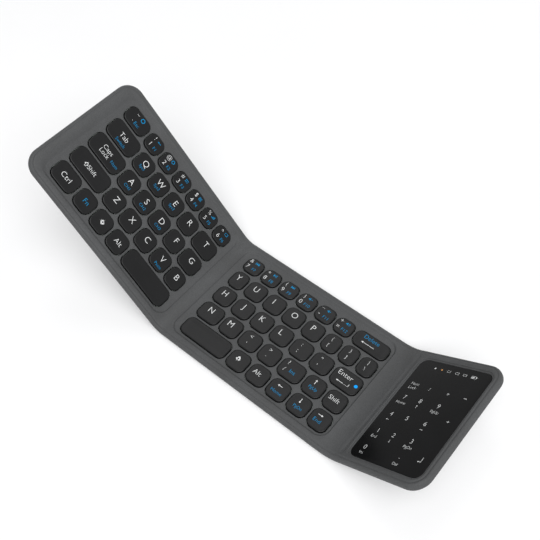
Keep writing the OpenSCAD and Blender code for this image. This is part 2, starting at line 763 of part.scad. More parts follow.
module left_bend_outer_leather() color(leather_grey) left_bend(0, depth, 0, bend_outer_z);
module left_bend_inner_leather() color(leather_grey) left_bend(0, depth, bend_inner_z, panel_t);
module right_bend_outer_leather() color(leather_grey) right_bend(0, depth, 0, bend_outer_z);
module right_bend_inner_leather() color(leather_grey) right_bend(0, depth, bend_inner_z, panel_t);

// Line round a bend's centre at radius r: an arc with a straight end on each side
function bend_line(r, raise, start_len, end_len) = concat(
    [[-start_len, -r]],
    [for (i = [0:ribbon_steps]) r * [sin(i * raise / ribbon_steps), -cos(i * raise / ribbon_steps)]],
    [[r * sin(raise) + end_len * cos(raise), end_len * sin(raise) - r * cos(raise)]]);
function reversed(v) = [for (i = [len(v) - 1:-1:0]) v[i]];

// Ribbon cable seen from the front
module ribbon_profile(radius, raise, start_len, end_len)
    polygon(concat(bend_line(radius - ribbon_z, raise, start_len, end_len),
                   reversed(bend_line(radius - ribbon_z - ribbon_t, raise, start_len, end_len))));

module left_ribbon_cable() color(ribbon_amber) on_middle()
    translate([left_bend_half, left_ribbon_y + left_ribbon_w, left_bend_r]) rotate([90, 0, 0])
        linear_extrude(left_ribbon_w) mirror([1, 0])
            ribbon_profile(left_bend_r, left_raise, middle_keys_in - ribbon_stop - left_bend_half,
                           left_keys_in - ribbon_stop - left_bend_half);

module right_ribbon_cable() color(ribbon_amber) on_middle()
    translate([middle_w - right_bend_half, right_ribbon_y + right_ribbon_w, right_bend_r])
        rotate([90, 0, 0]) linear_extrude(right_ribbon_w)
            ribbon_profile(right_bend_r, right_raise, bend_wall + slot_stop,
                           well[0] + fit_gap - right_bend_half);

left_back_cover();
left_top_cover();
left_stiffener();
left_support_plate();
left_membrane();
left_key_lattice();
left_rubber_domes();
left_scissor_links();
left_magnets();
middle_back_cover();
middle_top_cover();
middle_stiffener();
middle_support_plate();
middle_membrane();
middle_key_lattice();
middle_rubber_domes();
middle_scissor_links();
middle_magnets();
right_back_cover();
right_top_cover();
right_stiffener();
touchpad_frame();
touchpad_glass();
touchpad_sensor();
indicator_lights();
main_board();
battery();
usb_socket();
right_magnet();
left_bend_outer_leather();
left_bend_inner_leather();
left_ribbon_cable();
right_bend_outer_leather();
right_bend_inner_leather();
right_ribbon_cable();
esc_key();
left_digit_keys();
tab_key();
left_upper_letter_keys();
caps_lock_key();
left_home_letter_keys();
left_shift_key();
left_lower_letter_keys();
ctrl_key();
fn_key();
left_modifier_keys();
left_space_key();
right_digit_keys();
backspace_key();
right_upper_letter_keys();
right_home_letter_keys();
enter_key();
right_lower_letter_keys();
up_arrow_key();
right_shift_key();
right_space_key();
right_modifier_keys();
left_arrow_key();
down_arrow_key();
right_arrow_key();
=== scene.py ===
"""Looks of the folding keyboard: leather covers, keys with legends and their mechanism, the touchpad,
light and camera. Lengths are in millimetres in a panel's own frame until a piece is built."""

import json
import math

import bmesh
import bpy
from mathutils import Vector
from mathutils.geometry import delaunay_2d_cdt
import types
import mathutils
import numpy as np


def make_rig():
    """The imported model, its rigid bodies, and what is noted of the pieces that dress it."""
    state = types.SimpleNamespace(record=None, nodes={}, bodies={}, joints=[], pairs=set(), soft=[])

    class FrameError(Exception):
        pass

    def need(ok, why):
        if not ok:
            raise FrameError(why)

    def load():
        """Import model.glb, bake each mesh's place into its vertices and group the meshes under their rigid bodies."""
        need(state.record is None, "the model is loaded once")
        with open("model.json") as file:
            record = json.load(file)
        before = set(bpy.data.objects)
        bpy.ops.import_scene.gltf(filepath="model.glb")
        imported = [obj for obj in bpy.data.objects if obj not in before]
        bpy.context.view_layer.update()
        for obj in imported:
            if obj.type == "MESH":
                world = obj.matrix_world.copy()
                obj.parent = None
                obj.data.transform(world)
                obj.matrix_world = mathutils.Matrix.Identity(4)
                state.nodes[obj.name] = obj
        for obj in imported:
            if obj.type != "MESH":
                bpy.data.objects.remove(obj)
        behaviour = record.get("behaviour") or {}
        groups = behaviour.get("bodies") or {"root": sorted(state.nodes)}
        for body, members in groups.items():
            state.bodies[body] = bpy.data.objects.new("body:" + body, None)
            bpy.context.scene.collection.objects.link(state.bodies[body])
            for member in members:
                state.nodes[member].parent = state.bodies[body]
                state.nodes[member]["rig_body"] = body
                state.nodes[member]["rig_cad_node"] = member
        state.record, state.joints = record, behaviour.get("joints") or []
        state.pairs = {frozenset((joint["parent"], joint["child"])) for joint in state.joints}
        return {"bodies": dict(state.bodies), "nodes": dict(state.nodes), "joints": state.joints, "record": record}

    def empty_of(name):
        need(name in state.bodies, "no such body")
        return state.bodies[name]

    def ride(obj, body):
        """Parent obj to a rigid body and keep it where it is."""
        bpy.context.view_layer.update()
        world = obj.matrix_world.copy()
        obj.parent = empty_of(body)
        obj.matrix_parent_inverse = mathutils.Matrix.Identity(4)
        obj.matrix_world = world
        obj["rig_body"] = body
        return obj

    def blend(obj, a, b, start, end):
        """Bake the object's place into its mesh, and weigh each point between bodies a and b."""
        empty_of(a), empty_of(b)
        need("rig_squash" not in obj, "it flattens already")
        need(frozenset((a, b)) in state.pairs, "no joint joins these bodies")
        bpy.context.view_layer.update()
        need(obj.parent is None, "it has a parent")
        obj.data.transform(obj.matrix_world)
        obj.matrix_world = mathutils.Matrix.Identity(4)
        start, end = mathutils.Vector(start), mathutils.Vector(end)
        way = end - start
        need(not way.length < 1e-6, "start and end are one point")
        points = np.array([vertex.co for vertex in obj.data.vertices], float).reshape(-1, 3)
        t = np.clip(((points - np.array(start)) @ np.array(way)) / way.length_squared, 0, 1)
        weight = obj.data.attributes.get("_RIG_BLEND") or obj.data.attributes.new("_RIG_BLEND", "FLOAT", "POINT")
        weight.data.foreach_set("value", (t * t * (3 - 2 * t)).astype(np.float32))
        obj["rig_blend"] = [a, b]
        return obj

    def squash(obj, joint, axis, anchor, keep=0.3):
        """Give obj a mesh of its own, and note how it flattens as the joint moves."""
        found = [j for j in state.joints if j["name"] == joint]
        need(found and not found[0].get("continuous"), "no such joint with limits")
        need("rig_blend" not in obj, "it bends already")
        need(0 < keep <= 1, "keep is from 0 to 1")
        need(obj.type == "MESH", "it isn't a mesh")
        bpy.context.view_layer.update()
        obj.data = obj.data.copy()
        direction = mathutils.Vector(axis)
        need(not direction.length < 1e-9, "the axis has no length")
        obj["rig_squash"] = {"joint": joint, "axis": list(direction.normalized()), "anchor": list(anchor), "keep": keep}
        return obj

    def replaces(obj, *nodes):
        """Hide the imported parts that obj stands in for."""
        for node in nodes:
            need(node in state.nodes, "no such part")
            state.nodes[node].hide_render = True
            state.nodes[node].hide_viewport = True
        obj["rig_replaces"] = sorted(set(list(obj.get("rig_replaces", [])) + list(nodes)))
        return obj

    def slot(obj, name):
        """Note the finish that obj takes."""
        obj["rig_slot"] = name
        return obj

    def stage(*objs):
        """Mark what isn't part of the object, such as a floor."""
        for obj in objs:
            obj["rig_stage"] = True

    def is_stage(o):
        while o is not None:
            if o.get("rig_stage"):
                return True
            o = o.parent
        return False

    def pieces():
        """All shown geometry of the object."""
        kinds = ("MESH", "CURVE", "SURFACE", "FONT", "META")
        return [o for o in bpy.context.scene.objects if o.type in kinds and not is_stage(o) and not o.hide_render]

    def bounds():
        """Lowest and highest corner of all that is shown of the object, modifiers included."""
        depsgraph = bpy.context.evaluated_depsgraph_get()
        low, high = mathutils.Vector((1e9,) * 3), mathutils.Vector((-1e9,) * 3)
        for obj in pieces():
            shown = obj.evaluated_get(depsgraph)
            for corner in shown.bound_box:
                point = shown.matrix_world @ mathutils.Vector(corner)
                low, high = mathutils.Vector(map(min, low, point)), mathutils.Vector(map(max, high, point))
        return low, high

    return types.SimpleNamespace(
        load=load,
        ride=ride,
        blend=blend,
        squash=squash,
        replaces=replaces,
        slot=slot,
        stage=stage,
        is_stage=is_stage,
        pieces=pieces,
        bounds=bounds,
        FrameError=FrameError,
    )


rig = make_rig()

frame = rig.load()
CAD_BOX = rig.bounds()
NODES = frame["nodes"]

# ---- Driving sizes in millimetres, the same as in the part's source
# Panels: outline, fold angles, half widths of the bends, and heights above a panel's underside
DEPTH, MIDDLE_W, LEFT_W, RIGHT_W = 98.0, 143.6, 142.1, 74.0
CORNER_R = 12.0
LEFT_RAISE, RIGHT_RAISE = math.radians(44.4), math.radians(34.0)
LEFT_BEND, RIGHT_BEND = 4.6, 6.9
LATTICE_Z, SPLIT_Z, TRAY_Z, KEY_Z, PANEL_T = 2.4, 4.1, 5.0, 5.9, 6.2
# Trays and keys: widths before a row is stretched to its panel, margins, webs and windows
TRAY_INSET, TRAY_SIDE, TRAY_R, TRAY_LIP = 6.0, 5.0, 8.0, 0.4
KEY_FRONT, KEY_BACK, KEY_WEB, NUMBER_SHARE, LAST_ROW = 8.5, 9.8, 1.3, 0.885, 4
LETTER, DIGIT, BRACKET = 15.75, 14.8, 13.2
KEY_BOTTOM_Z, WINDOW_R, KEY_CLEAR, KEY_TRAVEL = 4.0, 5.0, 0.4, 1.3
LEFT_KEYS_IN, LEFT_KEYS_OUT, MIDDLE_KEYS_IN, MIDDLE_KEYS_OUT = 9.75, 14.7, 10.0, 9.3
# Touchpad glass with the step round it, and the charging socket in the back edge
GLASS_IN, GLASS_OUT, GLASS_FRONT, GLASS_BACK, GLASS_R = 13.6, 5.3, 6.25, 7.5, 5.5
GLASS_Z0, GLASS_Z1 = 4.5, 5.5
STEP_W, STEP_DEPTH = 1.3, 0.5
SOCKET_W, SOCKET_H, SOCKET_Z0 = 8.94, 3.16, 1.75
# Ribbon cables: height, thickness, how far they stop before the keys and how far the right one goes
# past its bend in the middle panel, widths, and the main board that the right one is joined to
RIBBON_Z, RIBBON_T, RIBBON_STOP, RIBBON_IN_WALL = 2.45, 0.2, 1.3, 2.0
LEFT_RIBBON_W, RIGHT_RIBBON_W, RIBBON_ON_BOARD = 18.0, 16.0, 3.0
BOARD_D, WELL_INSET, FIT_GAP = 24.0, 1.5, 0.2

GLASS = (GLASS_IN, GLASS_FRONT, RIGHT_W - GLASS_OUT, DEPTH - GLASS_BACK)
SOCKET_X = (GLASS[0] + GLASS[2]) / 2
KEY_D = round((DEPTH - KEY_FRONT - KEY_BACK - KEY_WEB * LAST_ROW) / (LAST_ROW + NUMBER_SHARE), 2)
NUMBER_D = round(KEY_D * NUMBER_SHARE, 2)
LEFT_BEND_R = LEFT_BEND / math.tan(LEFT_RAISE / 2) + KEY_Z
RIGHT_BEND_R = RIGHT_BEND / math.tan(RIGHT_RAISE / 2) + KEY_Z
BOARD_Y = GLASS[3] - WELL_INSET - FIT_GAP - BOARD_D


# ---- Panel frames: each maps millimetres in the panel to metres in the row frame
def on_middle(x, y, z):
    return Vector((x - MIDDLE_W / 2, y - DEPTH / 2, z)) / 1000


def turned(x, z, angle):
    """A point of a raised panel in the middle panel's frame. It turns about the key tops' level."""
    z -= KEY_Z
    return x * math.cos(angle) + z * math.sin(angle), z * math.cos(angle) - x * math.sin(angle) + KEY_Z


def on_left(x, y, z):
    x, z = turned(x, z, LEFT_RAISE)
    return on_middle(x, y, z)


def on_right(x, y, z):
    x, z = turned(x, z, -RIGHT_RAISE)
    return on_middle(x + MIDDLE_W, y, z)


def in_left_bend(angle, y, z):
    """A point of the left bend, by its angle round the bend's centre in place of x."""
    r = LEFT_BEND_R - z
    return on_middle(LEFT_BEND - r * math.sin(angle), y, LEFT_BEND_R - r * math.cos(angle))


def in_right_bend(angle, y, z):
    r = RIGHT_BEND_R - z
    return on_middle(MIDDLE_W - RIGHT_BEND + r * math.sin(angle), y,
                     RIGHT_BEND_R - r * math.cos(angle))


# ---- Mesh helpers: distances at which points are joined, in metres, and the angle of a sharp edge
WELD, SHORTEST, SHARP = 2e-6, 1e-7, math.radians(40)
SMALLEST_R = 0.02


class Shell:
    """Vertices and faces of one piece."""

    def __init__(self):
        self.verts, self.faces = [], []

    def add(self, points):
        """Keep the points and return their numbers."""
        first = len(self.verts)
        self.verts.extend(tuple(p) for p in points)
        return list(range(first, len(self.verts)))

    def rings(self, rings, closed=True):
        """Skin over rings of equally many points."""
        rows = [self.add(r) for r in rings]
        for a, b in zip(rows, rows[1:]):
            n = len(a)
            for i in range(n if closed else n - 1):
                j = (i + 1) % n
                self.faces.append((a[i], a[j], b[j], b[i]))

    def tube(self, rings):
        """Skin over rings, closed with a face at both ends."""
        self.rings(rings)
        self.cap(rings[0])
        self.cap(rings[-1])

    def cap(self, points):
        self.faces.append(tuple(self.add(points)))

    def fill(self, loops, skip, height, inner=()):
        """Flat or curved sheet between loops, as triangles. skip(x, y) leaves a triangle out."""
        points, edges = [], []
        for loop in loops:
            first = len(points)
            points.extend(Vector(p) for p in loop)
            n = len(loop)
            edges.extend((first + i, first + (i + 1) % n) for i in range(n))
        points.extend(Vector(p) for p in inner)
        out, _, tris, _, _, _ = delaunay_2d_cdt(points, edges, [], 0, 1e-6)
        ids = self.add(height(p[0], p[1]) for p in out)
        for t in tris:
            x = sum(out[i][0] for i in t) / 3
            y = sum(out[i][1] for i in t) / 3
            if not skip(x, y):
                self.faces.append(tuple(ids[i] for i in t))

    def build(self, name, place):
        """Make the object, with place(x, y, z) taking its points into the row frame."""
        mesh = bpy.data.meshes.new(name)
        mesh.from_pydata([place(*v) for v in self.verts], [], self.faces)
        bm = bmesh.new()
        bm.from_mesh(mesh)
        bmesh.ops.remove_doubles(bm, verts=bm.verts, dist=WELD)
        bmesh.ops.dissolve_degenerate(bm, edges=bm.edges, dist=SHORTEST)
        bmesh.ops.recalc_face_normals(bm, faces=bm.faces)
        bm.to_mesh(mesh)
        bm.free()
        mesh.shade_smooth()
        mesh.set_sharp_from_angle(angle=SHARP)
        obj = bpy.data.objects.new(name, mesh)
        bpy.context.scene.collection.objects.link(obj)
        return obj


def rounded_rect(x0, y0, x1, y1, r, n=8):
    """Points of a rounded rectangle, anticlockwise from its lower right corner."""
    r = max(r, SMALLEST_R)
    points = []
    for cx, cy, a in ((x1 - r, y0 + r, -90), (x1 - r, y1 - r, 0),
                      (x0 + r, y1 - r, 90), (x0 + r, y0 + r, 180)):
        for i in range(n + 1):
            t = math.radians(a + 90 * i / n)
            points.append((cx + r * math.cos(t), cy + r * math.sin(t)))
    return points


def inset(box, d):
    x0, y0, x1, y1 = box
    return x0 + d, y0 + d, x1 - d, y1 - d


def middle(box):
    return (box[0] + box[2]) / 2, (box[1] + box[3]) / 2


def at(points, z):
    return [(x, y, z) for x, y in points]


def in_rounded(x, y, box, r):
    """How far a point lies inside a rounded rectangle. It is negative outside."""
    x0, y0, x1, y1 = box
    dx = abs(x - (x0 + x1) / 2) - (x1 - x0) / 2 + r
    dy = abs(y - (y0 + y1) / 2) - (y1 - y0) / 2 + r
    outside = math.hypot(max(dx, 0), max(dy, 0))
    return r - outside - min(max(dx, dy), 0)


def arc(cx, cz, rx, rz, a0, a1, n):
    """Points of an elliptic arc from a0 to a1 degrees, in n steps."""
    return [(cx + rx * math.cos(math.radians(a0 + (a1 - a0) * i / n)),
             cz + rz * math.sin(math.radians(a0 + (a1 - a0) * i / n))) for i in range(n + 1)]


def smooth(t):
    """Soft step from 0 to 1."""
    t = min(max(t, 0), 1)
    return t * t * (3 - 2 * t)


# ---- Side profile of the padded edge: a bead along the outline, a seam line inside it, then the pad
EDGE_R, EDGE_STEPS = 2.6, 7
BEAD_W, BEAD_DROP, BEAD_STEPS = 1.7, 0.3, 8
SEAM_AT, SEAM_DROP = 2.4, 0.5
PILLOW, PILLOW_STEPS = 3.6, 14


def edge_top(d):
    """Height of the leather d in from the outline, past the bead's crest."""
    if d < SEAM_AT:
        return PANEL_T - BEAD_DROP - (SEAM_DROP - BEAD_DROP) * smooth((d - BEAD_W) / (SEAM_AT - BEAD_W))
    return PANEL_T - SEAM_DROP * (1 - smooth((d - SEAM_AT) / (PILLOW - SEAM_AT)))


BEAD_TOP = PANEL_T - BEAD_DROP
PILLOW_LINE = [BEAD_W + (PILLOW - BEAD_W) * i / PILLOW_STEPS for i in range(1, PILLOW_STEPS + 1)]
PROFILE = (arc(EDGE_R, EDGE_R, EDGE_R, EDGE_R, 270, 180, EDGE_STEPS)
           + arc(BEAD_W, BEAD_TOP - EDGE_R, BEAD_W, EDGE_R, 180, 90, BEAD_STEPS)
           + [(d, edge_top(d)) for d in PILLOW_LINE])


def edge_line(x0, x1, d, bend0, bend1, n=12):
    """The panel's outline d inside its edge: one closed loop, or open lines where it meets a bend."""
    r = CORNER_R - d
    y0, y1 = d, DEPTH - d

    def corner(cx, cy, a):
        return [(cx + r * math.cos(math.radians(a + 90 * i / n)),
                 cy + r * math.sin(math.radians(a + 90 * i / n))) for i in range(n + 1)]

    if bend0 and bend1:
        return [[(x0, y0), (x1, y0)], [(x1, y1), (x0, y1)]]
    if bend1:
        return [[(x1, y1)] + corner(x0 + CORNER_R, DEPTH - CORNER_R, 90)
                + corner(x0 + CORNER_R, CORNER_R, 180) + [(x1, y0)]]
    return [[(x0, y0)] + corner(x1 - CORNER_R, CORNER_R, -90)
            + corner(x1 - CORNER_R, DEPTH - CORNER_R, 0) + [(x0, y1)]]


def padded_panel(shell, x0, x1, bend0, bend1, hole, hole_r):
    """Leather round a panel's edge, over its underside and over its rim up to the tray's hole."""
    for line in range(2 if bend0 and bend1 else 1):
        shell.rings([at(edge_line(x0, x1, d, bend0, bend1)[line], z) for d, z in PROFILE],
                    closed=False)
    under = sum(edge_line(x0, x1, PROFILE[0][0], bend0, bend1), [])
    shell.cap(at(under, 0))
    over = sum(edge_line(x0, x1, PROFILE[-1][0], bend0, bend1), [])
    shell.fill([over, rounded_rect(*hole, hole_r)],
               lambda x, y: in_rounded(x, y, hole, hole_r) > 0, lambda x, y: (x, y, PANEL_T))


WIDE_STEP, WIDE_STEP_POWER, LIP_STEPS = 2.0, 1.6, 5


def tray_step(t, box, outs, ins, r):
    """Outline of the soft step round a tray, from its upper edge at t = 0 to its foot at t = 1.

    outs and ins say how far it reaches out of and into the box on the left, front, right and back.
    A wide side starts gently and gets steeper.
    """
    reach = []
    for edge, sign, out, inn in zip(box, (-1, -1, 1, 1), outs, ins):
        share = 1 - (1 - t) ** WIDE_STEP_POWER if out > WIDE_STEP else t
        reach.append(edge + sign * (out - (out + inn) * share))
    return reach, r + outs[1] - (outs[1] + ins[1]) * t


def lip_rings(shell, box, r, lip, top, bottom):
    """Rolled edge of an opening: from the sheet over it, round the lip and down."""
    rings = []
    for o, dz in arc(lip, 0, lip, lip, 90, 180, LIP_STEPS):
        rings.append(at(rounded_rect(*inset(box, -o), r + o), top - lip + dz))
    rings.append(at(rounded_rect(*box, r), bottom))
    shell.rings(rings)


# ---- Rows of keys: name of the body, window width before the row is stretched, and legends.
# A legend is a text or mark, its centre from the key's centre, its cap height and its ink.
W, B, O = "legend_white", "legend_blue", "legend_orange"


def letter(char, dx=0.0, dy=1.5, word="", wx=0.0, wy=-2.4):
    """A letter, and a smaller blue word under it on some keys."""
    return [(char, dx, dy, 4.3, W)] + ([(word, wx, wy, 2.1, B)] if word else [])


def number(low, high, dx, bx, icon, f):
    """A digit and its sign on the left, a blue icon and a blue word on the right."""
    return [(high, dx, 3.5, 2.9, W), (low, dx, -1.9, 3.2, W),
            (icon, bx, 3.4, 2.7, B), (f, bx + 0.5, -2.2, 2.3, B)]


def pair(low, high, dx, up=2.9, down=-2.3, size=3.0):
    """Two signs over each other."""
    return [(high, dx, up, size, W), (low, dx, down, size, W)]


def gang(body, *keys):
    """Keys of one row that move together on one body."""
    return [(body, w, legends) for w, legends in keys]


LEFT_ROWS = [
    [("ctrl_key", 21.3, [("Ctrl", 0, 0, 3.6, W)]), ("fn_key", LETTER, [("Fn", 0.5, 0.2, 3.4, B)])]
    + gang("left_modifier_keys", (LETTER, [("*diamond", 0.4, 0.4, 4.2, W)]),
           (LETTER, [("Alt", 0.3, 0.3, 3.4, W)]))
    + [("left_space_key", 43.9, [])],
    [("left_shift_key", 33.05, [("*shift", -4.6, 0.1, 3.4, W), ("Shift", 1.2, 0.1, 3.1, W)])]
    + gang("left_lower_letter_keys", *((LETTER, letter(c, 0.4)) for c in "ZXC"),
           (LETTER, letter("V", 0.6, 1.5, "Paste", 1.2, -4.0)), (15.1, letter("B", 0.2))),
    [("caps_lock_key", 29.8, [("Caps", -1.2, 2.1, 3.0, W), ("Lock", -1.2, -1.7, 3.0, W),
                              ("Num", 8.6, -1.4, 2.2, B)])]
    + gang("left_home_letter_keys",
           *((LETTER, letter(c, 0.6, 1.6, word, 1.0, -3.2))
             for c, word in (("A", "CH1"), ("S", "CH2"), ("D", "CH3"), ("F", ""))),
           (18.35, letter("G", 0, 1.6))),
    [("tab_key", 26.95, [("Tab", 0, 0.5, 3.5, W), ("Switch", 0.9, -4.3, 2.3, B)])]
    + gang("left_upper_letter_keys",
           *((LETTER, letter(c, 0.4, 1.6, word, 0.1))
             for c, word in (("Q", "Sys1"), ("W", "Sys2"), ("E", "Sys3"), ("R", ""))),
           (21.2, letter("T", 0))),
    [("esc_key", 21.05, [("~", -2.9, 3.5, 2.6, W), ("`", -2.9, -2.4, 3.0, W),
                         ("*ring", 2.2, 3.4, 3.3, B), ("Esc", 1.3, -2.2, 2.5, B)])]
    + [("left_digit_keys", DIGIT, number(d, s, -2.5, 1.7, i, "F" + d)) for d, s, i in
       zip("123456", "!@#$%^", ("*left", "*ring", "*dots", "*bars", "*rise", "*wave"))],
]
MIDDLE_ROWS = [
    [("right_space_key", 39.75, [])]
    + gang("right_modifier_keys", (LETTER, [("*diamond", -1.0, 1.2, 4.2, W)]),
           (LETTER, [("Alt", -1.6, 1.2, 3.4, W)]))
    + [("left_arrow_key", LETTER, [("*left", -0.6, 3.0, 3.2, W), ("Home", -0.2, -1.9, 2.3, B)]),
       ("down_arrow_key", LETTER, [("*down", -0.8, 3.0, 3.2, W), ("PgDn", 0.3, -1.9, 2.1, B)]),
       ("right_arrow_key", 15.05, [("*right", -1.4, 3.0, 3.2, W), ("End", -1.3, -1.2, 2.6, B)])],
    gang("right_lower_letter_keys", (19.0, letter("N", -0.8, 2.0)), (LETTER, letter("M", -1.8, 2.0)),
         (LETTER, pair(",", "<", -1.2, 3.4, -2.4)), (LETTER, pair(".", ">", -1.6, 3.4, -2.4)),
         (18.9, pair("/", "?", -4.7, 3.7, -1.8) + [("Ins", 1.3, -0.8, 2.8, B)]))
    + [("up_arrow_key", LETTER, [("*up", -0.9, 3.1, 3.2, W), ("PgUp", 0.2, -1.5, 2.1, B)]),
       ("right_shift_key", 15.6, [("Shift", -1.2, 0.9, 3.1, W)])],
    gang("right_home_letter_keys",
         *((LETTER, letter(c, dx, 2.0)) for c, dx in zip("HJKL", (-1.1, -0.8, -1.4, -1.7))),
         (LETTER, pair(";", ":", -1.6, 3.6, -1.9)), (LETTER, pair("'", '"', -2.0, 3.6, -2.2)))
    + [("enter_key", 22.0, [("Enter", -2.4, 3.1, 3.5, W), ("*return", -1.5, -3.1, 2.6, W)])],
    gang("right_upper_letter_keys", (13.3, letter("Y", -1.2, 1.7)),
         *((LETTER, letter(c, dx, 1.7)) for c, dx in zip("UIO", (-0.8, -1.8, -0.5))),
         (15.3, letter("P", -1.0, 1.7)), (BRACKET, pair("[", "{", -1.2, 3.3, -2.2, 2.4)),
         (BRACKET, pair("]", "}", -0.8, 3.3, -2.2, 2.4)),
         (12.95, pair("\\", "|", -0.6, 3.5, -1.8, 2.7))),
    [("right_digit_keys", DIGIT, number(d, s, -4.0, 1.1, i, f)) for d, s, i, f in
     zip("7890-=", "&*()_+", ("*back", "*play", "*ahead", "*mute", "*quiet", "*loud"),
         ("F7", "F8", "F9", "F10", "F11", "F12"))]
    + [("backspace_key", 27.7, [("*backspace", -2.1, -1.6, 2.7, W), ("Delete", -1.4, 3.2, 3.0, B)])],
]


def keys_of(rows, x_start, width):
    """(body, window box, legends) of every key in a panel."""
    out = []
    for r, row in enumerate(rows):
        stretch = (width - KEY_WEB * (len(row) - 1)) / sum(w for _, w, _ in row)
        x, y = x_start, KEY_FRONT + r * (KEY_D + KEY_WEB)
        d = NUMBER_D if r == LAST_ROW else KEY_D
        for body, w, legends in row:
            w = round(w * stretch, 2)
            out.append((body, (x, y, x + w, y + d), legends))
            x += w + KEY_WEB
    return out


LEFT_KEYS = keys_of(LEFT_ROWS, LEFT_KEYS_OUT - LEFT_W, LEFT_W - LEFT_KEYS_OUT - LEFT_KEYS_IN)
MIDDLE_KEYS = keys_of(MIDDLE_ROWS, MIDDLE_KEYS_IN, MIDDLE_W - MIDDLE_KEYS_IN - MIDDLE_KEYS_OUT)


# ---- Materials
class Nodes:
    """Short names for building a material's nodes."""

    def __init__(self, name):
        self.mat = bpy.data.materials.new(name)
        self.mat.use_nodes = True
        self.tree = self.mat.node_tree
        self.shader = self.tree.nodes["Principled BSDF"]
        self.coord = self.tree.nodes.new("ShaderNodeTexCoord").outputs["Object"]

    def node(self, kind, inputs=(), **settings):
        n = self.tree.nodes.new("ShaderNode" + kind)
        for k, v in settings.items():
            setattr(n, k, v)
        for k, v in dict(inputs).items():
            self.put(n.inputs[k], v)
        return n

    def put(self, socket, value):
        if isinstance(value, bpy.types.NodeSocket):
            self.tree.links.new(value, socket)
        else:
            socket.default_value = value

    def noise(self, scale, detail=3.0, rough=0.55):
        return self.node("TexNoise", {"Vector": self.coord, "Scale": scale, "Detail": detail,
                                      "Roughness": rough}).outputs["Fac"]

    def cell_edges(self, scale, vector):
        return self.node("TexVoronoi", {"Vector": vector, "Scale": scale},
                         feature="DISTANCE_TO_EDGE").outputs["Distance"]

    def ramp(self, value, low, high, to_low=0.0, to_high=1.0):
        return self.node("MapRange", {"Value": value, "From Min": low, "From Max": high,
                                      "To Min": to_low, "To Max": to_high}).outputs["Result"]

    def math(self, op, a, b):
        n = self.node("Math", operation=op)
        self.put(n.inputs[0], a)
        self.put(n.inputs[1], b)
        return n.outputs[0]

    def mix(self, fac, a, b):
        n = self.node("Mix", data_type="RGBA")
        self.put(n.inputs[0], fac)
        self.put(n.inputs[6], (*a, 1) if isinstance(a, tuple) else a)
        self.put(n.inputs[7], (*b, 1) if isinstance(b, tuple) else b)
        return n.outputs[2]

    def bump(self, height, strength, distance, under=None):
        inputs = {"Height": height, "Strength": strength, "Distance": distance}
        if under:
            inputs["Normal"] = under
        return self.node("Bump", inputs).outputs["Normal"]

    def set(self, **values):
        """Set the shader's own sockets and return the material."""
        for k, v in values.items():
            self.put(self.shader.inputs[k.replace("_", " ")], v)
        return self.mat


def grey(v, cool=0.0):
    """Grey of value v, a little bluish by cool."""
    return (v * (1 - cool), v, v * (1 + cool))


def leather(name, value):
    """Fine-grained grey leather: pebbled cells, soft creases, slightly mottled dye, and painted shade that darkens the
    valleys between the pebbles.
    """
    m = Nodes(name)
    m.mat.diffuse_color = (*grey(value), 1)
    drift = m.node("TexNoise", {"Vector": m.coord, "Scale": 420.0, "Detail": 2.0})
    small = m.node("VectorMath", {0: drift.outputs["Color"], "Scale": 0.0006}, operation="SCALE")
    warped = m.node("VectorMath", {0: m.coord, 1: small.outputs[0]}, operation="ADD").outputs[0]
    pebbles = m.ramp(m.cell_edges(1150.0, warped), 0.0, 0.22)
    pores = m.noise(5200.0, 2.0)
    creases = m.noise(95.0, 4.0, 0.6)
    mottle = m.noise(38.0, 3.0, 0.6)
    base = m.mix(m.ramp(mottle, 0.3, 0.7), grey(value * 0.9, 0.015), grey(value * 1.08, 0.025))
    # Painted shade: the colour darkens towards the pebbles' edges, in the grain's valleys where the bump sinks the
    # surface
    colour = m.mix(m.ramp(pebbles, 0.0, 0.8, 0.4, 0.0), base, grey(value * 0.45, 0.02))
    normal = m.bump(creases, 0.12, 0.0006)
    normal = m.bump(pebbles, 0.5, 0.00008, normal)
    normal = m.bump(pores, 0.2, 0.00002, normal)
    rough = m.ramp(m.math("ADD", m.math("MULTIPLY", pores, 0.5), m.math("MULTIPLY", creases, 0.5)),
                   0.3, 0.7, 0.5, 0.66)
    return m.set(Base_Color=colour, Roughness=rough, Normal=normal, Specular_IOR_Level=0.17)


def moulded(name, colour, rough=0.4, metallic=0.0, grain=3500.0, depth=0.000012, vary=0.12,
            specular=0.5):
    """Moulded, rolled or painted surface: fine texture, faint colour drift and uneven gloss."""
    m = Nodes(name)
    m.mat.diffuse_color = (*colour, 1)
    drift = m.noise(55.0, 3.0)
    fine = m.noise(grain, 2.0)
    dark = tuple(c * (1 - vary) for c in colour)
    light = tuple(min(c * (1 + vary), 1.0) for c in colour)
    base = m.mix(m.ramp(drift, 0.3, 0.7), dark, light)
    gloss = m.ramp(m.math("ADD", m.math("MULTIPLY", drift, 0.6), m.math("MULTIPLY", fine, 0.4)),
                   0.3, 0.7, rough * 0.9, rough * 1.12)
    normal = m.bump(fine, 0.25, depth)
    return m.set(Base_Color=base, Roughness=gloss, Normal=normal, Metallic=metallic,
                 Specular_IOR_Level=specular)


def glowing(name, colour, strength):
    """Lit plastic, a little uneven."""
    m = Nodes(name)
    m.mat.diffuse_color = (*colour, 1)
    fade = m.ramp(m.noise(900.0), 0.2, 0.8, 0.9 * strength, 1.1 * strength)
    return m.set(Base_Color=(*colour, 1), Emission_Color=(*colour, 1), Emission_Strength=fade,
                 Roughness=0.3, Specular_IOR_Level=0.1)


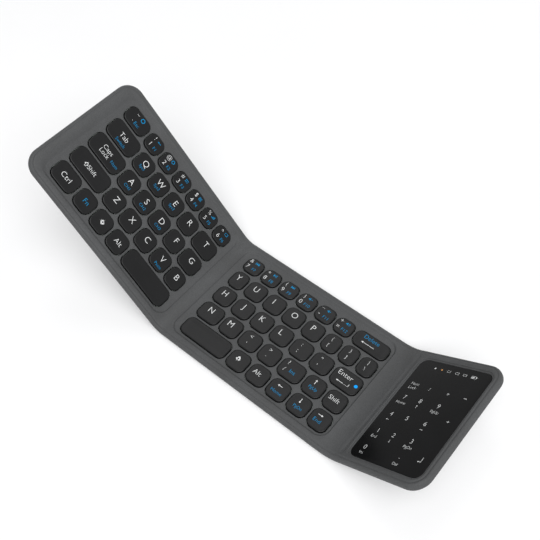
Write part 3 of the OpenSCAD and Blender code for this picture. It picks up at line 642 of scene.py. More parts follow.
MATERIALS = {
    "leather": leather("grey_leather", 0.082),
    "keycap": moulded("satin_black_keycap", (0.0078, 0.008, 0.0084), 0.3, grain=5200.0,
                      depth=0.000015, vary=0.1, specular=0.18),
    "printed_glass": moulded("black_touch_glass", (0.0052, 0.0053, 0.0056), 0.2, grain=2500.0,
                             depth=0.000002, vary=0.15, specular=0.095),
    "aluminium_board": moulded("brushed_board", (0.55, 0.56, 0.57), 0.38, 1.0, grain=1800.0),
    "steel_plate": moulded("zinc_plated_steel", (0.5, 0.5, 0.49), 0.42, 1.0, grain=900.0),
    "membrane": moulded("switch_membrane", (0.32, 0.36, 0.33), 0.35),
    "silicone": moulded("white_silicone", (0.62, 0.62, 0.6), 0.55, grain=1500.0),
    "black_plastic": moulded("black_plastic", (0.022, 0.022, 0.024), 0.5, grain=1600.0,
                             depth=0.00003),
    "magnet": moulded("nickel_magnet", (0.6, 0.58, 0.55), 0.25, 1.0),
    "circuit_board": moulded("green_circuit_board", (0.02, 0.11, 0.05), 0.35),
    "clear_plastic": moulded("clear_light_guide", (0.7, 0.72, 0.72), 0.2),
    "battery_foil": moulded("battery_foil", (0.42, 0.43, 0.45), 0.3, 0.8, grain=600.0),
    "socket_steel": moulded("socket_steel", (0.58, 0.58, 0.58), 0.28, 1.0, grain=2600.0),
    "ribbon_film": moulded("amber_ribbon_film", (0.45, 0.19, 0.04), 0.3, grain=1200.0),
}
LEGENDS = {
    W: moulded("white_legend_ink", (0.66, 0.67, 0.67), 0.5, grain=4200.0, vary=0.04),
    B: moulded("blue_legend_ink", (0.001, 0.21, 0.44), 0.45, grain=4200.0, vary=0.06,
               specular=0.15),
    O: moulded("orange_legend_ink", (0.55, 0.25, 0.06), 0.45, grain=4200.0, vary=0.06),
    "light": glowing("blue_key_light", (0.0, 0.2, 0.55), 0.9),
}

SLOTS = {part["node"]: part["material_slot"] for part in frame["record"]["subparts"]}
for node, obj in NODES.items():
    obj.data.materials.clear()
    obj.data.materials.append(MATERIALS[SLOTS[node]])


def finish_piece(obj, body, slot, nodes=(), material=None):
    """Give a piece its material and slot, the body that it rides on and the nodes that it replaces."""
    obj.data.materials.append(material or MATERIALS[slot])
    if body:
        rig.ride(obj, body)
    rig.slot(obj, slot)
    if nodes:
        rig.replaces(obj, *nodes)
    return obj


# ---- Leather skins of the two key panels
WEB_LIP, TRAY_STEPS = 0.3, 8


def key_panel(name, x0, x1, bend0, bend1, tray, outs, ins, keys, place, body, nodes):
    """Padded rim, soft step down to the tray, and the tray's floor with a window for each key."""
    s = Shell()
    rings = []
    for i in range(TRAY_STEPS + 1):
        box, r = tray_step(i / TRAY_STEPS, tray, outs, ins, TRAY_R)
        z = PANEL_T - (PANEL_T - TRAY_Z) * smooth(i / TRAY_STEPS)
        rings.append(at(rounded_rect(*box, r), z))
    s.rings(rings)
    padded_panel(s, x0, x1, bend0, bend1, *tray_step(0, tray, outs, ins, TRAY_R))
    floor_box, floor_r = tray_step(1, tray, outs, ins, TRAY_R)
    for _, window, _ in keys:
        lip_rings(s, window, WINDOW_R, WEB_LIP, TRAY_Z, SPLIT_Z)
    holes, hole_r = [inset(window, -WEB_LIP) for _, window, _ in keys], WINDOW_R + WEB_LIP
    loops = [rounded_rect(*floor_box, floor_r)] + [rounded_rect(*box, hole_r) for box in holes]

    def skip(x, y):
        if in_rounded(x, y, floor_box, floor_r) < 0:
            return True
        return any(in_rounded(x, y, box, hole_r) > 0 for box in holes)

    s.fill(loops, skip, lambda x, y: (x, y, TRAY_Z))
    return finish_piece(s.build(name, place), body, "leather", nodes)


key_panel("left_leather", -LEFT_W, -LEFT_BEND, False, True,
          (-LEFT_W + LEFT_KEYS_OUT - TRAY_SIDE, TRAY_INSET, -LEFT_BEND - TRAY_LIP,
           DEPTH - TRAY_INSET), (4.9, 0.5, 0.38, 1.5), (0.9, 1.3, 0.5, 0.9),
          LEFT_KEYS, on_left, "left_panel", ("left_top_cover", "left_back_cover"))
key_panel("middle_leather", LEFT_BEND, MIDDLE_W - RIGHT_BEND, True, True,
          (LEFT_BEND + TRAY_LIP, TRAY_INSET, MIDDLE_W - RIGHT_BEND - TRAY_LIP,
           DEPTH - TRAY_INSET), (0.38, 0.5, 0.38, 1.5), (0.5, 1.3, 0.5, 0.9),
          MIDDLE_KEYS, on_middle, "middle_panel", ("middle_top_cover", "middle_back_cover"))


# ---- Leather skin of the touchpad panel, with the charging socket's mouth in its back edge
STEP_LIP, GLASS_GAP = 0.35, 0.2
CREASE_IN, CREASE_OUT, CREASE_END, CREASE_DEPTH, CREASE_SIDE = 2.6, 1.8, 11.3, 0.35, 4
# The sheet round the socket is laid out UNROLLED long from the underside to the top
SHEET_HALF, SHEET_STEPS, UNROLLED = 8.0, 16, 20.0
SOCKET_GAP, SOCKET_FLAT, SOCKET_CLEAR, MOUTH_LIP, MOUTH_DEPTH = 0.1, 0.01, 0.3, 0.12, 1.6


def profile_at(s):
    """Point of the edge profile at height s along it, from 0 at the underside to 1 on top."""
    k = s * (len(PROFILE) - 1)
    i = min(int(k), len(PROFILE) - 2)
    (d0, z0), (d1, z1) = PROFILE[i], PROFILE[i + 1]
    return d0 + (d1 - d0) * (k - i), z0 + (z1 - z0) * (k - i)


def along_profile(z):
    for i, ((_, z0), (_, z1)) in enumerate(zip(PROFILE, PROFILE[1:])):
        if z <= z1:
            return (i + (z - z0) / (z1 - z0)) / (len(PROFILE) - 1)
    return 1.0


def touchpad_panel():
    s = Shell()
    x0, x1 = RIGHT_BEND, RIGHT_W
    left, right = SOCKET_X - SHEET_HALF, SOCKET_X + SHEET_HALF
    right_of_sheet, left_of_sheet, outlines = [], [], []
    for d, z in PROFILE:
        *line, end = edge_line(x0, x1, d, True, False)[0]
        sheet = [(right, DEPTH - d), (left, DEPTH - d)]
        right_of_sheet.append(at([*line, sheet[0]], z))
        left_of_sheet.append(at([sheet[1], end], z))
        outlines.append([*line, *sheet, end])
    s.rings(right_of_sheet, closed=False)
    s.rings(left_of_sheet, closed=False)
    s.cap(at(outlines[0], 0))
    step, step_r = inset(GLASS, -STEP_W), GLASS_R + STEP_W
    grown, grown_r = inset(step, -STEP_LIP), step_r + STEP_LIP

    def creased(x, y):
        """A shallow crease beside the bend, where the leather climbs onto the panel's board."""
        dip = smooth((x - x0) / CREASE_IN) * smooth((CREASE_END - x) / CREASE_OUT)
        return (x, y, PANEL_T - CREASE_DEPTH * dip * smooth((min(y, DEPTH - y) - PILLOW) / CREASE_SIDE))

    # Grid of points over the crease, finer near the panel's front and back
    near_edge = [PILLOW + 0.5 * i for i in range(1, 9)]
    crease_y = near_edge + [8.0 + 4.1 * i for i in range(1, 20)] + [DEPTH - y for y in near_edge]
    s.fill([outlines[-1], rounded_rect(*grown, grown_r)],
           lambda x, y: in_rounded(x, y, grown, grown_r) > 0, creased,
           [(x0 + 0.3 * i, y) for i in range(1, 16) for y in crease_y])
    floor_z = PANEL_T - STEP_DEPTH
    lip_rings(s, step, step_r, STEP_LIP, PANEL_T, floor_z)
    # The step's floor, its rolled edge and the wall beside the glass, by the distance from the glass
    glass_side = ((STEP_W, floor_z), (0.4, floor_z), (0.25, floor_z - 0.06),
                  (GLASS_GAP, floor_z - 0.15), (GLASS_GAP, SPLIT_Z))
    s.rings([at(rounded_rect(*inset(GLASS, -o), GLASS_R + o), z) for o, z in glass_side])
    socket_sheet(s, left, right)
    return finish_piece(s.build("right_leather", on_right), "right_panel", "leather",
                        ("right_top_cover", "right_back_cover"))


def socket_sheet(shell, left, right):
    """The back edge round the socket: a sheet along the profile with the socket's outline cut out."""
    hx, hz = SOCKET_W / 2 + SOCKET_GAP, SOCKET_H / 2 + SOCKET_GAP
    zc = SOCKET_Z0 + SOCKET_H / 2
    box, r = (SOCKET_X - hx, zc - hz, SOCKET_X + hx, zc + hz), hz - SOCKET_FLAT
    around, around_r = inset(box, -SOCKET_CLEAR), hz + SOCKET_CLEAR
    hole = [(x, along_profile(z) * UNROLLED) for x, z in rounded_rect(*box, r)]
    levels = [i / (len(PROFILE) - 1) * UNROLLED for i in range(len(PROFILE))]
    border = [(left, v) for v in levels[::-1]] + [(right, v) for v in levels]

    def height(v):
        return profile_at(min(max(v / UNROLLED, 0), 1))

    def curved(x, v):
        d, z = height(v)
        return (x, DEPTH - d, z)

    columns = [left + (right - left) * i / SHEET_STEPS for i in range(1, SHEET_STEPS)]
    grid = [(x, v) for v in levels[1:-1] for x in columns
            if in_rounded(x, height(v)[1], around, around_r) < 0]
    shell.fill([border, hole], lambda x, v: in_rounded(x, height(v)[1], box, r) > 0, curved, grid)
    mouth = [curved(x, v) for x, v in hole]
    shell.rings([mouth, [(x, y - MOUTH_LIP, z) for x, y, z in mouth],
                 [(x, DEPTH - MOUTH_DEPTH, z) for x, _, z in mouth]])


touchpad_panel()


# ---- Bends: the leather goes on round them, and the ribbon cable runs inside
BEND_STEPS, RIBBON_STEPS = 28, 12


def bend_skin(name, place, sweep, a, b, nodes):
    s = Shell()
    section = PROFILE + [(DEPTH - d, z) for d, z in PROFILE[::-1]]
    s.rings([[(sweep * i / BEND_STEPS, y, z) for y, z in section] for i in range(BEND_STEPS + 1)])
    obj = finish_piece(s.build(name, place), None, "leather", nodes)
    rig.blend(obj, a, b, place(0, DEPTH / 2, PANEL_T), place(sweep, DEPTH / 2, PANEL_T))


bend_skin("left_bend_leather", in_left_bend, LEFT_RAISE, "middle_panel", "left_panel",
          ("left_bend_outer_leather", "left_bend_inner_leather"))
bend_skin("right_bend_leather", in_right_bend, RIGHT_RAISE, "middle_panel", "right_panel",
          ("right_bend_outer_leather", "right_bend_inner_leather"))


def ribbon(name, place, sweep, before, after, y0, y1, a, b, node):
    """Flat cable: a straight end in each panel and an arc between them."""
    stations = [before] + [(place, sweep * i / RIBBON_STEPS) for i in range(RIBBON_STEPS + 1)] + [after]
    corners = ((y0, RIBBON_Z), (y1, RIBBON_Z), (y1, RIBBON_Z + RIBBON_T), (y0, RIBBON_Z + RIBBON_T))
    s = Shell()
    s.tube([[put(x, y, z) for y, z in corners] for put, x in stations])
    obj = finish_piece(s.build(name, lambda *p: Vector(p)), None, "ribbon_film", (node,))
    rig.blend(obj, a, b, place(0, DEPTH / 2, PANEL_T), place(sweep, DEPTH / 2, PANEL_T))


ribbon("left_ribbon", in_left_bend, LEFT_RAISE, (on_middle, MIDDLE_KEYS_IN - RIBBON_STOP),
       (on_left, RIBBON_STOP - LEFT_KEYS_IN), (DEPTH - LEFT_RIBBON_W) / 2, (DEPTH + LEFT_RIBBON_W) / 2,
       "middle_panel", "left_panel", "left_ribbon_cable")
ribbon("right_ribbon", in_right_bend, RIGHT_RAISE, (on_middle, MIDDLE_W - RIGHT_BEND - RIBBON_IN_WALL),
       (on_right, GLASS_IN + WELL_INSET + FIT_GAP),
       BOARD_Y + RIBBON_ON_BOARD, BOARD_Y + RIBBON_ON_BOARD + RIGHT_RIBBON_W,
       "middle_panel", "right_panel", "right_ribbon_cable")

# ---- Keys: a rolled edge and a shallow dish, with the places of the rings that shape the dish
KEY_EDGE, EDGE_TURN, DISH, DISH_W = 0.75, 15, 0.1, 4.0
DISH_RINGS = (1.1, 1.5, 2.0, 2.5, 3.0, 3.5, 4.0, 4.4)
CAP_R = WINDOW_R - KEY_CLEAR


def cap_height(d):
    """Height of the key's top at the distance d in from its side."""
    if d < KEY_EDGE:
        t = 1 - max(d, 0) / KEY_EDGE
        return KEY_Z - KEY_EDGE * (1 - math.sqrt(max(1 - t * t, 0)))
    return KEY_Z - DISH * smooth((d - KEY_EDGE) / DISH_W)


def key_cap(shell, box):
    """Straight sides, a rolled edge and a dished top."""
    outline = rounded_rect(*box, CAP_R)
    rings = [at(outline, KEY_BOTTOM_Z), at(outline, KEY_Z - KEY_EDGE)]
    rolled = [KEY_EDGE * (1 - math.cos(math.radians(a))) for a in range(EDGE_TURN, 91, EDGE_TURN)]
    for d in (*rolled, *DISH_RINGS):
        outline = rounded_rect(*inset(box, d), CAP_R - d)
        rings.append(at(outline, cap_height(d)))
    shell.rings(rings)
    shell.fill([outline], lambda x, y: False, lambda x, y: (x, y, KEY_Z - DISH))


# ---- Legends: glyphs of Blender's own font and simple marks, laid on the key tops
GLYPHS = {}
INK_THIN, INK_LIFT = -0.011, 0.015
LOW_SIGNS = ("~", "`", "'", '"', "-", "_", ",", ".", "^", "*")


def text_shape(text):
    """(points, faces) of a word in the font's own size."""
    curve = bpy.data.curves.new("glyph", "FONT")
    curve.body = text
    curve.resolution_u = 4
    curve.offset = 0 if text == "*" else INK_THIN
    obj = bpy.data.objects.new("glyph", curve)
    bpy.context.scene.collection.objects.link(obj)
    mesh = bpy.data.meshes.new_from_object(obj.evaluated_get(bpy.context.evaluated_depsgraph_get()))
    points = [(v.co.x, v.co.y) for v in mesh.vertices]
    faces = [tuple(p.vertices) for p in mesh.polygons]
    bpy.data.objects.remove(obj)
    bpy.data.meshes.remove(mesh)
    bpy.data.curves.remove(curve)
    return points, faces


CAP_HEIGHT = max(y for _, y in text_shape("H")[0])


def flat_text(text):
    """(points, faces) of a word, centred left to right on 0, with cap height 1 over y = 0."""
    if text not in GLYPHS:
        points, faces = text_shape(text)
        mid = (min(x for x, _ in points) + max(x for x, _ in points)) / 2
        GLYPHS[text] = ([((x - mid) / CAP_HEIGHT, y / CAP_HEIGHT) for x, y in points], faces)
    return GLYPHS[text]


def bar(x0, y0, x1, y1):
    return [(x0, y0), (x1, y0), (x1, y1), (x0, y1)]


def ring_mark(r0, r1, n=20, cx=0.0, cy=0.5, a0=0.0, a1=360.0):
    """Ring between two radii, or the part of it from a0 to a1 degrees."""
    out = []
    for i in range(n):
        a, b = (math.radians(a0 + (a1 - a0) * k / n) for k in (i, i + 1))
        out.append([(cx + r0 * math.cos(a), cy + r0 * math.sin(a)),
                    (cx + r1 * math.cos(a), cy + r1 * math.sin(a)),
                    (cx + r1 * math.cos(b), cy + r1 * math.sin(b)),
                    (cx + r0 * math.cos(b), cy + r0 * math.sin(b))])
    return out


ARROW = [bar(-0.3, 0.44, 0.55, 0.56), [(-0.62, 0.5), (-0.22, 0.26), (-0.22, 0.74)]]


def rotated(shape, degrees):
    c, s = math.cos(math.radians(degrees)), math.sin(math.radians(degrees))
    return [[(x * c - (y - 0.5) * s, x * s + (y - 0.5) * c + 0.5) for x, y in poly]
            for poly in shape]


def frame_mark(x0, y0, x1, y1, t):
    return [bar(x0, y0, x1, y0 + t), bar(x0, y1 - t, x1, y1), bar(x0, y0 + t, x0 + t, y1 - t),
            bar(x1 - t, y0 + t, x1, y1 - t)]


SPEAKER = [bar(-0.62, 0.34, -0.36, 0.66),
           [(-0.36, 0.34), (-0.08, 0.08), (-0.08, 0.92), (-0.36, 0.66)]]
WAVE = ring_mark(0.3, 0.4, 6, -0.1, 0.5, -40, 40)
AHEAD = [[(-0.5, 0.1), (0.0, 0.5), (-0.5, 0.9)], [(0.0, 0.1), (0.5, 0.5), (0.0, 0.9)],
         bar(0.52, 0.1, 0.62, 0.9)]
DIAMOND_SIDE = [[(0, 1.0), (-0.16, 0.84), (0.34, 0.34), (0.5, 0.5)]]
# Marks as convex outlines, on the same scale as a letter of cap height 1
MARKS = {
    "*left": ARROW, "*right": rotated(ARROW, 180), "*up": rotated(ARROW, -90),
    "*down": rotated(ARROW, 90),
    "*diamond": sum((rotated(DIAMOND_SIDE, 90 * i) for i in range(4)), []),
    "*shift": [[(0, 1.0), (-0.5, 0.48), (-0.32, 0.48), (0, 0.8)],
               [(0, 1.0), (0, 0.8), (0.32, 0.48), (0.5, 0.48)],
               bar(-0.5, 0.4, -0.14, 0.5), bar(0.14, 0.4, 0.5, 0.5), bar(-0.24, 0.0, -0.14, 0.45),
               bar(0.14, 0.0, 0.24, 0.45), bar(-0.24, 0.0, 0.24, 0.1)],
    "*ring": ring_mark(0.34, 0.5), "*dot": ring_mark(0.0, 0.5, 12),
    "*cell": (frame_mark(-0.85, 0.08, 0.7, 0.92, 0.14)
              + [bar(0.7, 0.32, 0.88, 0.68), bar(-0.6, 0.32, 0.1, 0.68)]),
    "*dots": [bar(x, y, x + 0.24, y + 0.24) for x in (-0.5, -0.12, 0.26) for y in (0.1, 0.6)],
    "*bars": [bar(-0.5, y, 0.5, y + 0.14) for y in (0.1, 0.43, 0.76)],
    "*rise": [bar(-0.5 + 0.28 * i, 0.05, -0.32 + 0.28 * i, 0.3 + 0.2 * i) for i in range(4)],
    "*wave": frame_mark(-0.5, 0.1, 0.5, 0.9, 0.12),
    "*play": [[(-0.45, 0.1), (0.1, 0.5), (-0.45, 0.9)], bar(0.2, 0.12, 0.32, 0.88),
              bar(0.44, 0.12, 0.56, 0.88)],
    "*ahead": AHEAD, "*back": rotated(AHEAD, 180),
    "*mute": SPEAKER + [bar(0.1, 0.45, 0.6, 0.55)],
    "*quiet": SPEAKER + WAVE,
    "*loud": SPEAKER + WAVE + ring_mark(0.55, 0.65, 8, -0.1, 0.5, -42, 42),
    "*backspace": [bar(-1.3, 0.44, 1.9, 0.56), [(-1.9, 0.5), (-1.3, 0.22), (-1.3, 0.78)]],
    "*return": [bar(-1.2, 0.43, 1.9, 0.57), bar(1.76, 0.57, 1.9, 1.2),
                [(-1.8, 0.5), (-1.2, 0.25), (-1.2, 0.75)]],
    "*enter": [bar(-0.1, -0.4, 0.7, -0.26), bar(0.56, -0.26, 0.7, 1.3),
               [(-0.55, -0.33), (-0.05, -0.58), (-0.05, -0.08)]],
    "*minus": [bar(-0.4, 0.42, 0.4, 0.58)],
}


def flat_mark(name):
    points, faces = [], []
    for poly in MARKS[name]:
        faces.append(tuple(range(len(points), len(points) + len(poly))))
        points.extend(poly)
    return points, faces


LIGHT_X, LIGHT_Y, LIGHT_LIFT, LIGHT_RINGS = 7.4, 0.3, 0.02, (1.2, 0.8, 0.4)


def stamp(shell, text, cx, cy, height, surface):
    """Lay a word or mark of the given cap height on a surface, centred on (cx, cy)."""
    points, faces = flat_mark(text) if text in MARKS else flat_text(text)
    if text in LOW_SIGNS:
        mid = (min(y for _, y in points) + max(y for _, y in points)) / 2
        points = [(x, y - mid + 0.5) for x, y in points]
    first = len(shell.verts)
    for x, y in points:
        px, py = cx + x * height, cy + (y - 0.5) * height
        shell.verts.append((px, py, surface(px, py) + INK_LIFT))
    shell.faces.extend(tuple(first + i for i in f) for f in faces)


def circle_points(r, n):
    return [(r * math.cos(2 * math.pi * i / n), r * math.sin(2 * math.pi * i / n))
            for i in range(n)]


def key_light(shell, cx, cy, surface):
    """Round light window that lies on the Enter key's top."""
    rings = [[(cx + x, cy + y, surface(cx + x, cy + y) + LIGHT_LIFT) for x, y in circle_points(r, 24)]
             for r in LIGHT_RINGS]
    shell.rings(rings)
    shell.cap(rings[-1])


def make_keys(keys, place):
    """One piece of caps, and one of each ink, for every body."""
    groups = {}
    for body, window, legends in keys:
        groups.setdefault(body, []).append((window, legends))
    for body, members in groups.items():
        caps, inks = Shell(), {}
        for window, legends in members:
            box, (cx, cy) = inset(window, KEY_CLEAR), middle(window)
            key_cap(caps, box)

            def surface(x, y):
                return cap_height(in_rounded(x, y, box, CAP_R))

            for text, dx, dy, height, ink in legends:
                stamp(inks.setdefault(ink, Shell()), text, cx + dx, cy + dy, height, surface)
            if body == "enter_key":
                key_light(inks.setdefault("light", Shell()), cx + LIGHT_X, cy + LIGHT_Y, surface)
        finish_piece(caps.build(body + "_cap", place), body, "keycap", (body,))
        for ink, shell in inks.items():
            obj = shell.build(f"{body}_{ink}", place)
            finish_piece(obj, body, "keycap", (), LEGENDS[ink])


make_keys(LEFT_KEYS, on_left)
make_keys(MIDDLE_KEYS, on_middle)

# ---- Key mechanism: two crossed links and a rubber dome, and a steel wire under each wide key
KEY_ROOF, KEY_WALL = 0.9, 0.9
LINK_LEN_SHARE, LINK_W_SHARE, LINK_BAR, LINK_T, LINK_GAP, LINK_R = 0.695, 0.59, 0.8, 0.6, 0.1, 0.9
PIN_R, BOSS_R, PIN_REACH = 0.22, 0.57, 0.86
DOME_R, DOME_TAPER, DOME_WALL, STUB_SHARE, FOOT_T, HAIR_GAP = 2.3, 0.55, 0.4, 1.2, 0.3, 0.05
DOME_SOFT, FOOT_SOFT = 0.1, 0.08
WIRE_R, WIRE_GAP, WIRE_BEND, WIRE_TURN, WIDE_KEY = 0.4, 0.3, 0.9, 30, 26.0
ROOF_Z = KEY_Z - KEY_ROOF
LINK_LEN = LINK_LEN_SHARE * min(box[2] - box[0] for _, box, _ in LEFT_KEYS + MIDDLE_KEYS)
LINK_W = LINK_W_SHARE * KEY_D
LINK_TILT = math.asin((ROOF_Z - LATTICE_Z - LINK_T - 2 * LINK_GAP) / LINK_LEN)


def tilted(points, centre, tilt):
    c, s = math.cos(tilt), math.sin(tilt)
    return [(centre[0] + x * c + z * s, centre[1] + y, centre[2] + z * c - x * s)
            for x, y, z in points]


def rod(shell, y0, y1, r, centre, tilt, soft=0.06):
    """Round rod along y with softened ends."""
    ends = ((y0, r - soft), (y0 + soft, r), (y1 - soft, r), (y1, r - soft))
    shell.tube([tilted([(x, y, z) for x, z in circle_points(ring_r, 12)], centre, tilt)
                for y, ring_r in ends])


def link_loop(shell, centre, w, tilt, soft=0.12):
    """Rectangular loop of soft-edged bars, with a boss for the cross pin on both sides."""
    h, t = LINK_LEN / 2, LINK_T / 2
    section = [(soft, -t), (0, soft - t), (0, t - soft), (soft, t), (LINK_BAR - soft, t),
               (LINK_BAR, t - soft), (LINK_BAR, soft - t), (LINK_BAR - soft, -t), (soft, -t)]
    box = (-h, -w / 2, h, w / 2)
    shell.rings([tilted(at(rounded_rect(*inset(box, d), LINK_R - d, 3), z), centre, tilt)
                 for d, z in section])
    for y0, y1 in ((-w / 2, LINK_BAR - w / 2), (w / 2 - LINK_BAR, w / 2)):
        rod(shell, y0, y1, BOSS_R, centre, tilt)


def scissor(shell, cx, cy):
    """Wide and narrow link crossed, with two pins that join them."""
    centre = (cx, cy, (ROOF_Z + LATTICE_Z) / 2)
    inner_w = LINK_W - 2 * LINK_BAR - 6 * LINK_GAP
    link_loop(shell, centre, LINK_W, LINK_TILT)
    link_loop(shell, centre, inner_w, -LINK_TILT)
    for y in (inner_w / 2, -inner_w / 2 - PIN_REACH):
        rod(shell, y, y + PIN_REACH, PIN_R, centre, -LINK_TILT)


def dome(shell, cx, cy):
    """Open cone with a foot round it and a stub on top, which stops a hair under the key."""
    h = ROOF_Z - LATTICE_Z - 2 * HAIR_GAP
    cone_h, cone_r, top_r = h - STUB_SHARE * DOME_WALL, DOME_R - DOME_WALL / 2, DOME_TAPER * DOME_R
    section = [(top_r - DOME_WALL, cone_h - DOME_WALL), (cone_r - DOME_WALL, 0), (DOME_R, 0),
               (DOME_R, FOOT_T - FOOT_SOFT), (DOME_R - FOOT_SOFT, FOOT_T),
               (cone_r - DOME_SOFT, FOOT_T + DOME_SOFT - FOOT_SOFT), (top_r, cone_h),
               (top_r, h - DOME_SOFT), (top_r - DOME_SOFT, h)]
    shell.tube([[(cx + x, cy + y, LATTICE_Z + z) for x, y in circle_points(r, 20)]
                for r, z in section])


def level_wire(shell, box):
    """Wire along the back of a wide key, with an arm forward at each end."""
    (cx, cy), z = middle(box), LATTICE_Z + WIRE_R + LINK_GAP
    side = KEY_CLEAR + KEY_WALL + WIRE_R
    back, reach = box[3] - cy - side - WIRE_GAP, box[2] - cx - side - 4 * WIRE_GAP
    front = 4 * WIRE_R - back
    bends = [(x, a - WIRE_TURN * i) for x, a in ((WIRE_BEND - reach, 180), (reach - WIRE_BEND, 90))
             for i in range(90 // WIRE_TURN + 1)]
    path = [(x + WIRE_BEND * math.cos(math.radians(a)),
             back - WIRE_BEND + WIRE_BEND * math.sin(math.radians(a)), a - 90) for x, a in bends]
    rings = []
    for x, y, heading in [(-reach, front, 90), *path, (reach, front, -90)]:
        c, s = math.cos(math.radians(heading)), math.sin(math.radians(heading))
        rings.append([(cx + x - u * s, cy + y + u * c, z + v) for u, v in circle_points(WIRE_R, 10)])
    shell.tube(rings)


def make_mechanism(keys, place, panel, domes_node, links_node):
    """Domes and links of each key or row of keys fold flat with it; the wires stay round."""
    up = place(0, 0, 1) - place(0, 0, 0)
    keep = 1 - KEY_TRAVEL / (ROOF_Z - LATTICE_Z)
    wires = Shell()
    for body in sorted({body for body, _, _ in keys}):
        domes, links = Shell(), Shell()
        for box in (box for member, box, _ in keys if member == body):
            dome(domes, *middle(box))
            scissor(links, *middle(box))
            if box[2] - box[0] >= WIDE_KEY:
                level_wire(wires, box)
        for shell, kind, slot, node in ((domes, "dome", "silicone", domes_node),
                                        (links, "scissor", "black_plastic", links_node)):
            piece = finish_piece(shell.build(f"{body}_{kind}", place), panel, slot, (node,))
            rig.squash(piece, body + "_press", up, place(0, 0, LATTICE_Z), keep)
    finish_piece(wires.build(panel + "_wires", place), panel, "black_plastic", (links_node,),
                 MATERIALS["socket_steel"])


make_mechanism(LEFT_KEYS, on_left, "left_panel", "left_rubber_domes", "left_scissor_links")
make_mechanism(MIDDLE_KEYS, on_middle, "middle_panel", "middle_rubber_domes",
               "middle_scissor_links")


# ---- Touchpad glass and its printed keypad, in the right panel's millimetres
GLASS_EDGE, PRINT_SINK, LAMP_Y = 0.3, 0.005, 85.1
# Sign, place along x, height and ink of each lamp
LAMPS = (("*dot", 26.85, 1.3, W), ("*dot", 32.1, 1.3, O), ("C1", 37.5, 1.8, W),
         ("C2", 44.0, 1.8, W), ("C3", 49.7, 1.8, W), ("*cell", 56.7, 2.4, W))
PAD_X = (21.6, 34.1, 48.2, 60.95)
DIGIT_H, WORD_H, WORD_DROP = 3.1, 2.0, 4.7
DIGIT_ROWS = ((57.6, (("7", "Home"), ("8", "*up"), ("9", "PgUp"))),
              (42.9, (("4", "*left"), ("5", ""), ("6", "*right"))),
              (28.6, (("1", "End"), ("2", "*down"), ("3", "PgDn"))))
# Text, place and height of the keypad's other legends
OTHERS = (("Num", PAD_X[0], 69.5, 2.1), ("Lock", PAD_X[0], 66.1, 2.1), ("/", PAD_X[1], 68.1, 2.7),
          ("*", PAD_X[2], 68.1, 2.7), ("*minus", PAD_X[3], 68.1, 2.7), ("+", PAD_X[3], 48.75, 2.8),
          ("0", PAD_X[0], 14.9, DIGIT_H), ("Ins", PAD_X[0], 10.6, 1.9), (".", PAD_X[2], 15.2, 3.0),
          ("Del", PAD_X[2], 10.9, 1.9), ("*enter", 61.2, 19.2, 2.1))


def touchpad():
    glass = Shell()
    edge = arc(GLASS_EDGE, GLASS_Z1 - GLASS_EDGE, GLASS_EDGE, GLASS_EDGE, 180, 90, 5)
    glass.tube([at(rounded_rect(*inset(GLASS, d), GLASS_R - d), z) for d, z in [(0, GLASS_Z0), *edge]])
    finish_piece(glass.build("touchpad_glass_plate", on_right), "right_panel", "printed_glass",
                 ("touchpad_glass",))
    inks = {W: Shell(), O: Shell()}

    def put(text, x, y, height, ink=W):
        stamp(inks[ink], text, x, y, height, lambda px, py: GLASS_Z1 - PRINT_SINK)

    for text, x, height, ink in LAMPS:
        put(text, x, LAMP_Y, height, ink)
    for y, row in DIGIT_ROWS:
        for x, (digit, word) in zip(PAD_X, row):
            put(digit, x, y, DIGIT_H)
            if word:
                put(word, x, y - WORD_DROP, WORD_H)
    for legend in OTHERS:
        put(*legend)
    for ink, shell in inks.items():
        finish_piece(shell.build("touchpad_" + ink, on_right), "right_panel", "printed_glass", (),
                     LEGENDS[ink])


touchpad()

# ---- Floor, light and camera, in metres
scene = bpy.context.scene
FLOOR_HALF, FLOOR_STEPS, FLOOR_DROP, FLOOR_GLOW = 3.0, 24, 0.0002, 0.2
CAMERA_PLACE, CAMERA_TURN = (0.17514, -0.22110, 0.47705), (35.706, 0.592, 39.386)
LENS, SENSOR = 53.97, 36.0


def seen_ray(tree):
    """1 for a camera, glossy or transmission ray and 0 for any other."""
    path = tree.nodes.new("ShaderNodeLightPath")
    seen = path.outputs["Is Camera Ray"]
    for kind in ("Is Glossy Ray", "Is Transmission Ray"):
        most = tree.nodes.new("ShaderNodeMath")
        most.operation = "MAXIMUM"
        tree.links.new(seen, most.inputs[0])
        tree.links.new(path.outputs[kind], most.inputs[1])
        seen = most.outputs[0]
    return seen


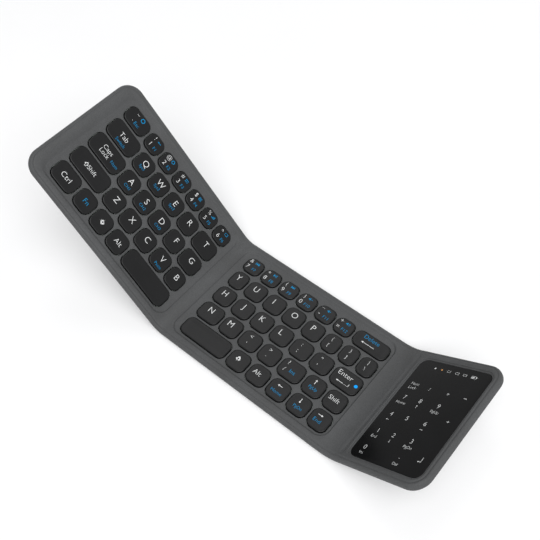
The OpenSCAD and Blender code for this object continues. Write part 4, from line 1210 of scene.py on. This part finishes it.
def make_floor():
    """White sheet that glows a little for the camera and in reflections, and lights nothing else."""
    n = FLOOR_STEPS
    ticks = [FLOOR_HALF * (2 * i / n - 1) for i in range(n + 1)]
    corners = [i * (n + 1) + j for i in range(n) for j in range(n)]
    mesh = bpy.data.meshes.new("floor")
    mesh.from_pydata([(x, y, -FLOOR_DROP) for x in ticks for y in ticks], [],
                     [(k, k + n + 1, k + n + 2, k + 1) for k in corners])
    obj = bpy.data.objects.new("floor", mesh)
    scene.collection.objects.link(obj)
    m = Nodes("studio_floor")
    base = m.mix(m.ramp(m.noise(6.0), 0.3, 0.7), (0.915, 0.915, 0.92), (0.935, 0.935, 0.94))
    m.set(Base_Color=base, Roughness=0.9, Specular_IOR_Level=0.1)
    white = m.node("Emission", {"Color": (1, 1, 1, 1), "Strength": 1.0})
    pick = m.node("MixShader", {"Fac": m.math("MULTIPLY", seen_ray(m.tree), FLOOR_GLOW)})
    m.tree.links.new(m.shader.outputs[0], pick.inputs[1])
    m.tree.links.new(white.outputs[0], pick.inputs[2])
    m.tree.links.new(pick.outputs[0], m.tree.nodes["Material Output"].inputs["Surface"])
    mesh.materials.append(m.mat)
    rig.stage(obj)


def make_world():
    """White where it is seen or reflected, and a dimmer white as a light."""
    world = bpy.data.worlds.new("studio")
    scene.world = world
    world.use_nodes = True
    t = world.node_tree
    light, white = t.nodes["Background"], t.nodes.new("ShaderNodeBackground")
    for back, color, strength in ((light, (0.98, 0.99, 1.0, 1), 0.32), (white, (1, 1, 1, 1), 1.0)):
        back.inputs["Color"].default_value = color
        back.inputs["Strength"].default_value = strength
    mix = t.nodes.new("ShaderNodeMixShader")
    for i, socket in enumerate((seen_ray(t), light.outputs[0], white.outputs[0])):
        t.links.new(socket, mix.inputs[i])
    t.links.new(mix.outputs[0], t.nodes["World Output"].inputs["Surface"])


def lamp(name, place, size, power):
    """Square lamp that shines at the origin."""
    data = bpy.data.lights.new(name, "AREA")
    data.shape, data.size, data.energy = "SQUARE", size, power
    obj = bpy.data.objects.new(name, data)
    obj.location = place
    obj.rotation_euler = (-Vector(place)).to_track_quat("-Z", "Y").to_euler()
    scene.collection.objects.link(obj)


def make_camera():
    data = bpy.data.cameras.new("camera")
    data.sensor_width, data.lens = SENSOR, LENS
    data.clip_start, data.clip_end = 0.01, 20.0
    obj = bpy.data.objects.new("camera", data)
    obj.location = CAMERA_PLACE
    obj.rotation_euler = [math.radians(a) for a in CAMERA_TURN]
    scene.collection.objects.link(obj)
    scene.camera = obj


make_floor()
make_world()
make_camera()
lamp("key_light", (1.7, -1.35, 3.6), 4.0, 200)
lamp("fill_light", (-0.8, 0.95, 2.1), 0.9, 5)
scene.view_settings.view_transform = "Standard"

boxes = [[list(corner) for corner in CAD_BOX], [list(corner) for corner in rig.bounds()]]
with open("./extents.json", "w") as f:
    json.dump({"cad": boxes[0], "visual": boxes[1]}, f)
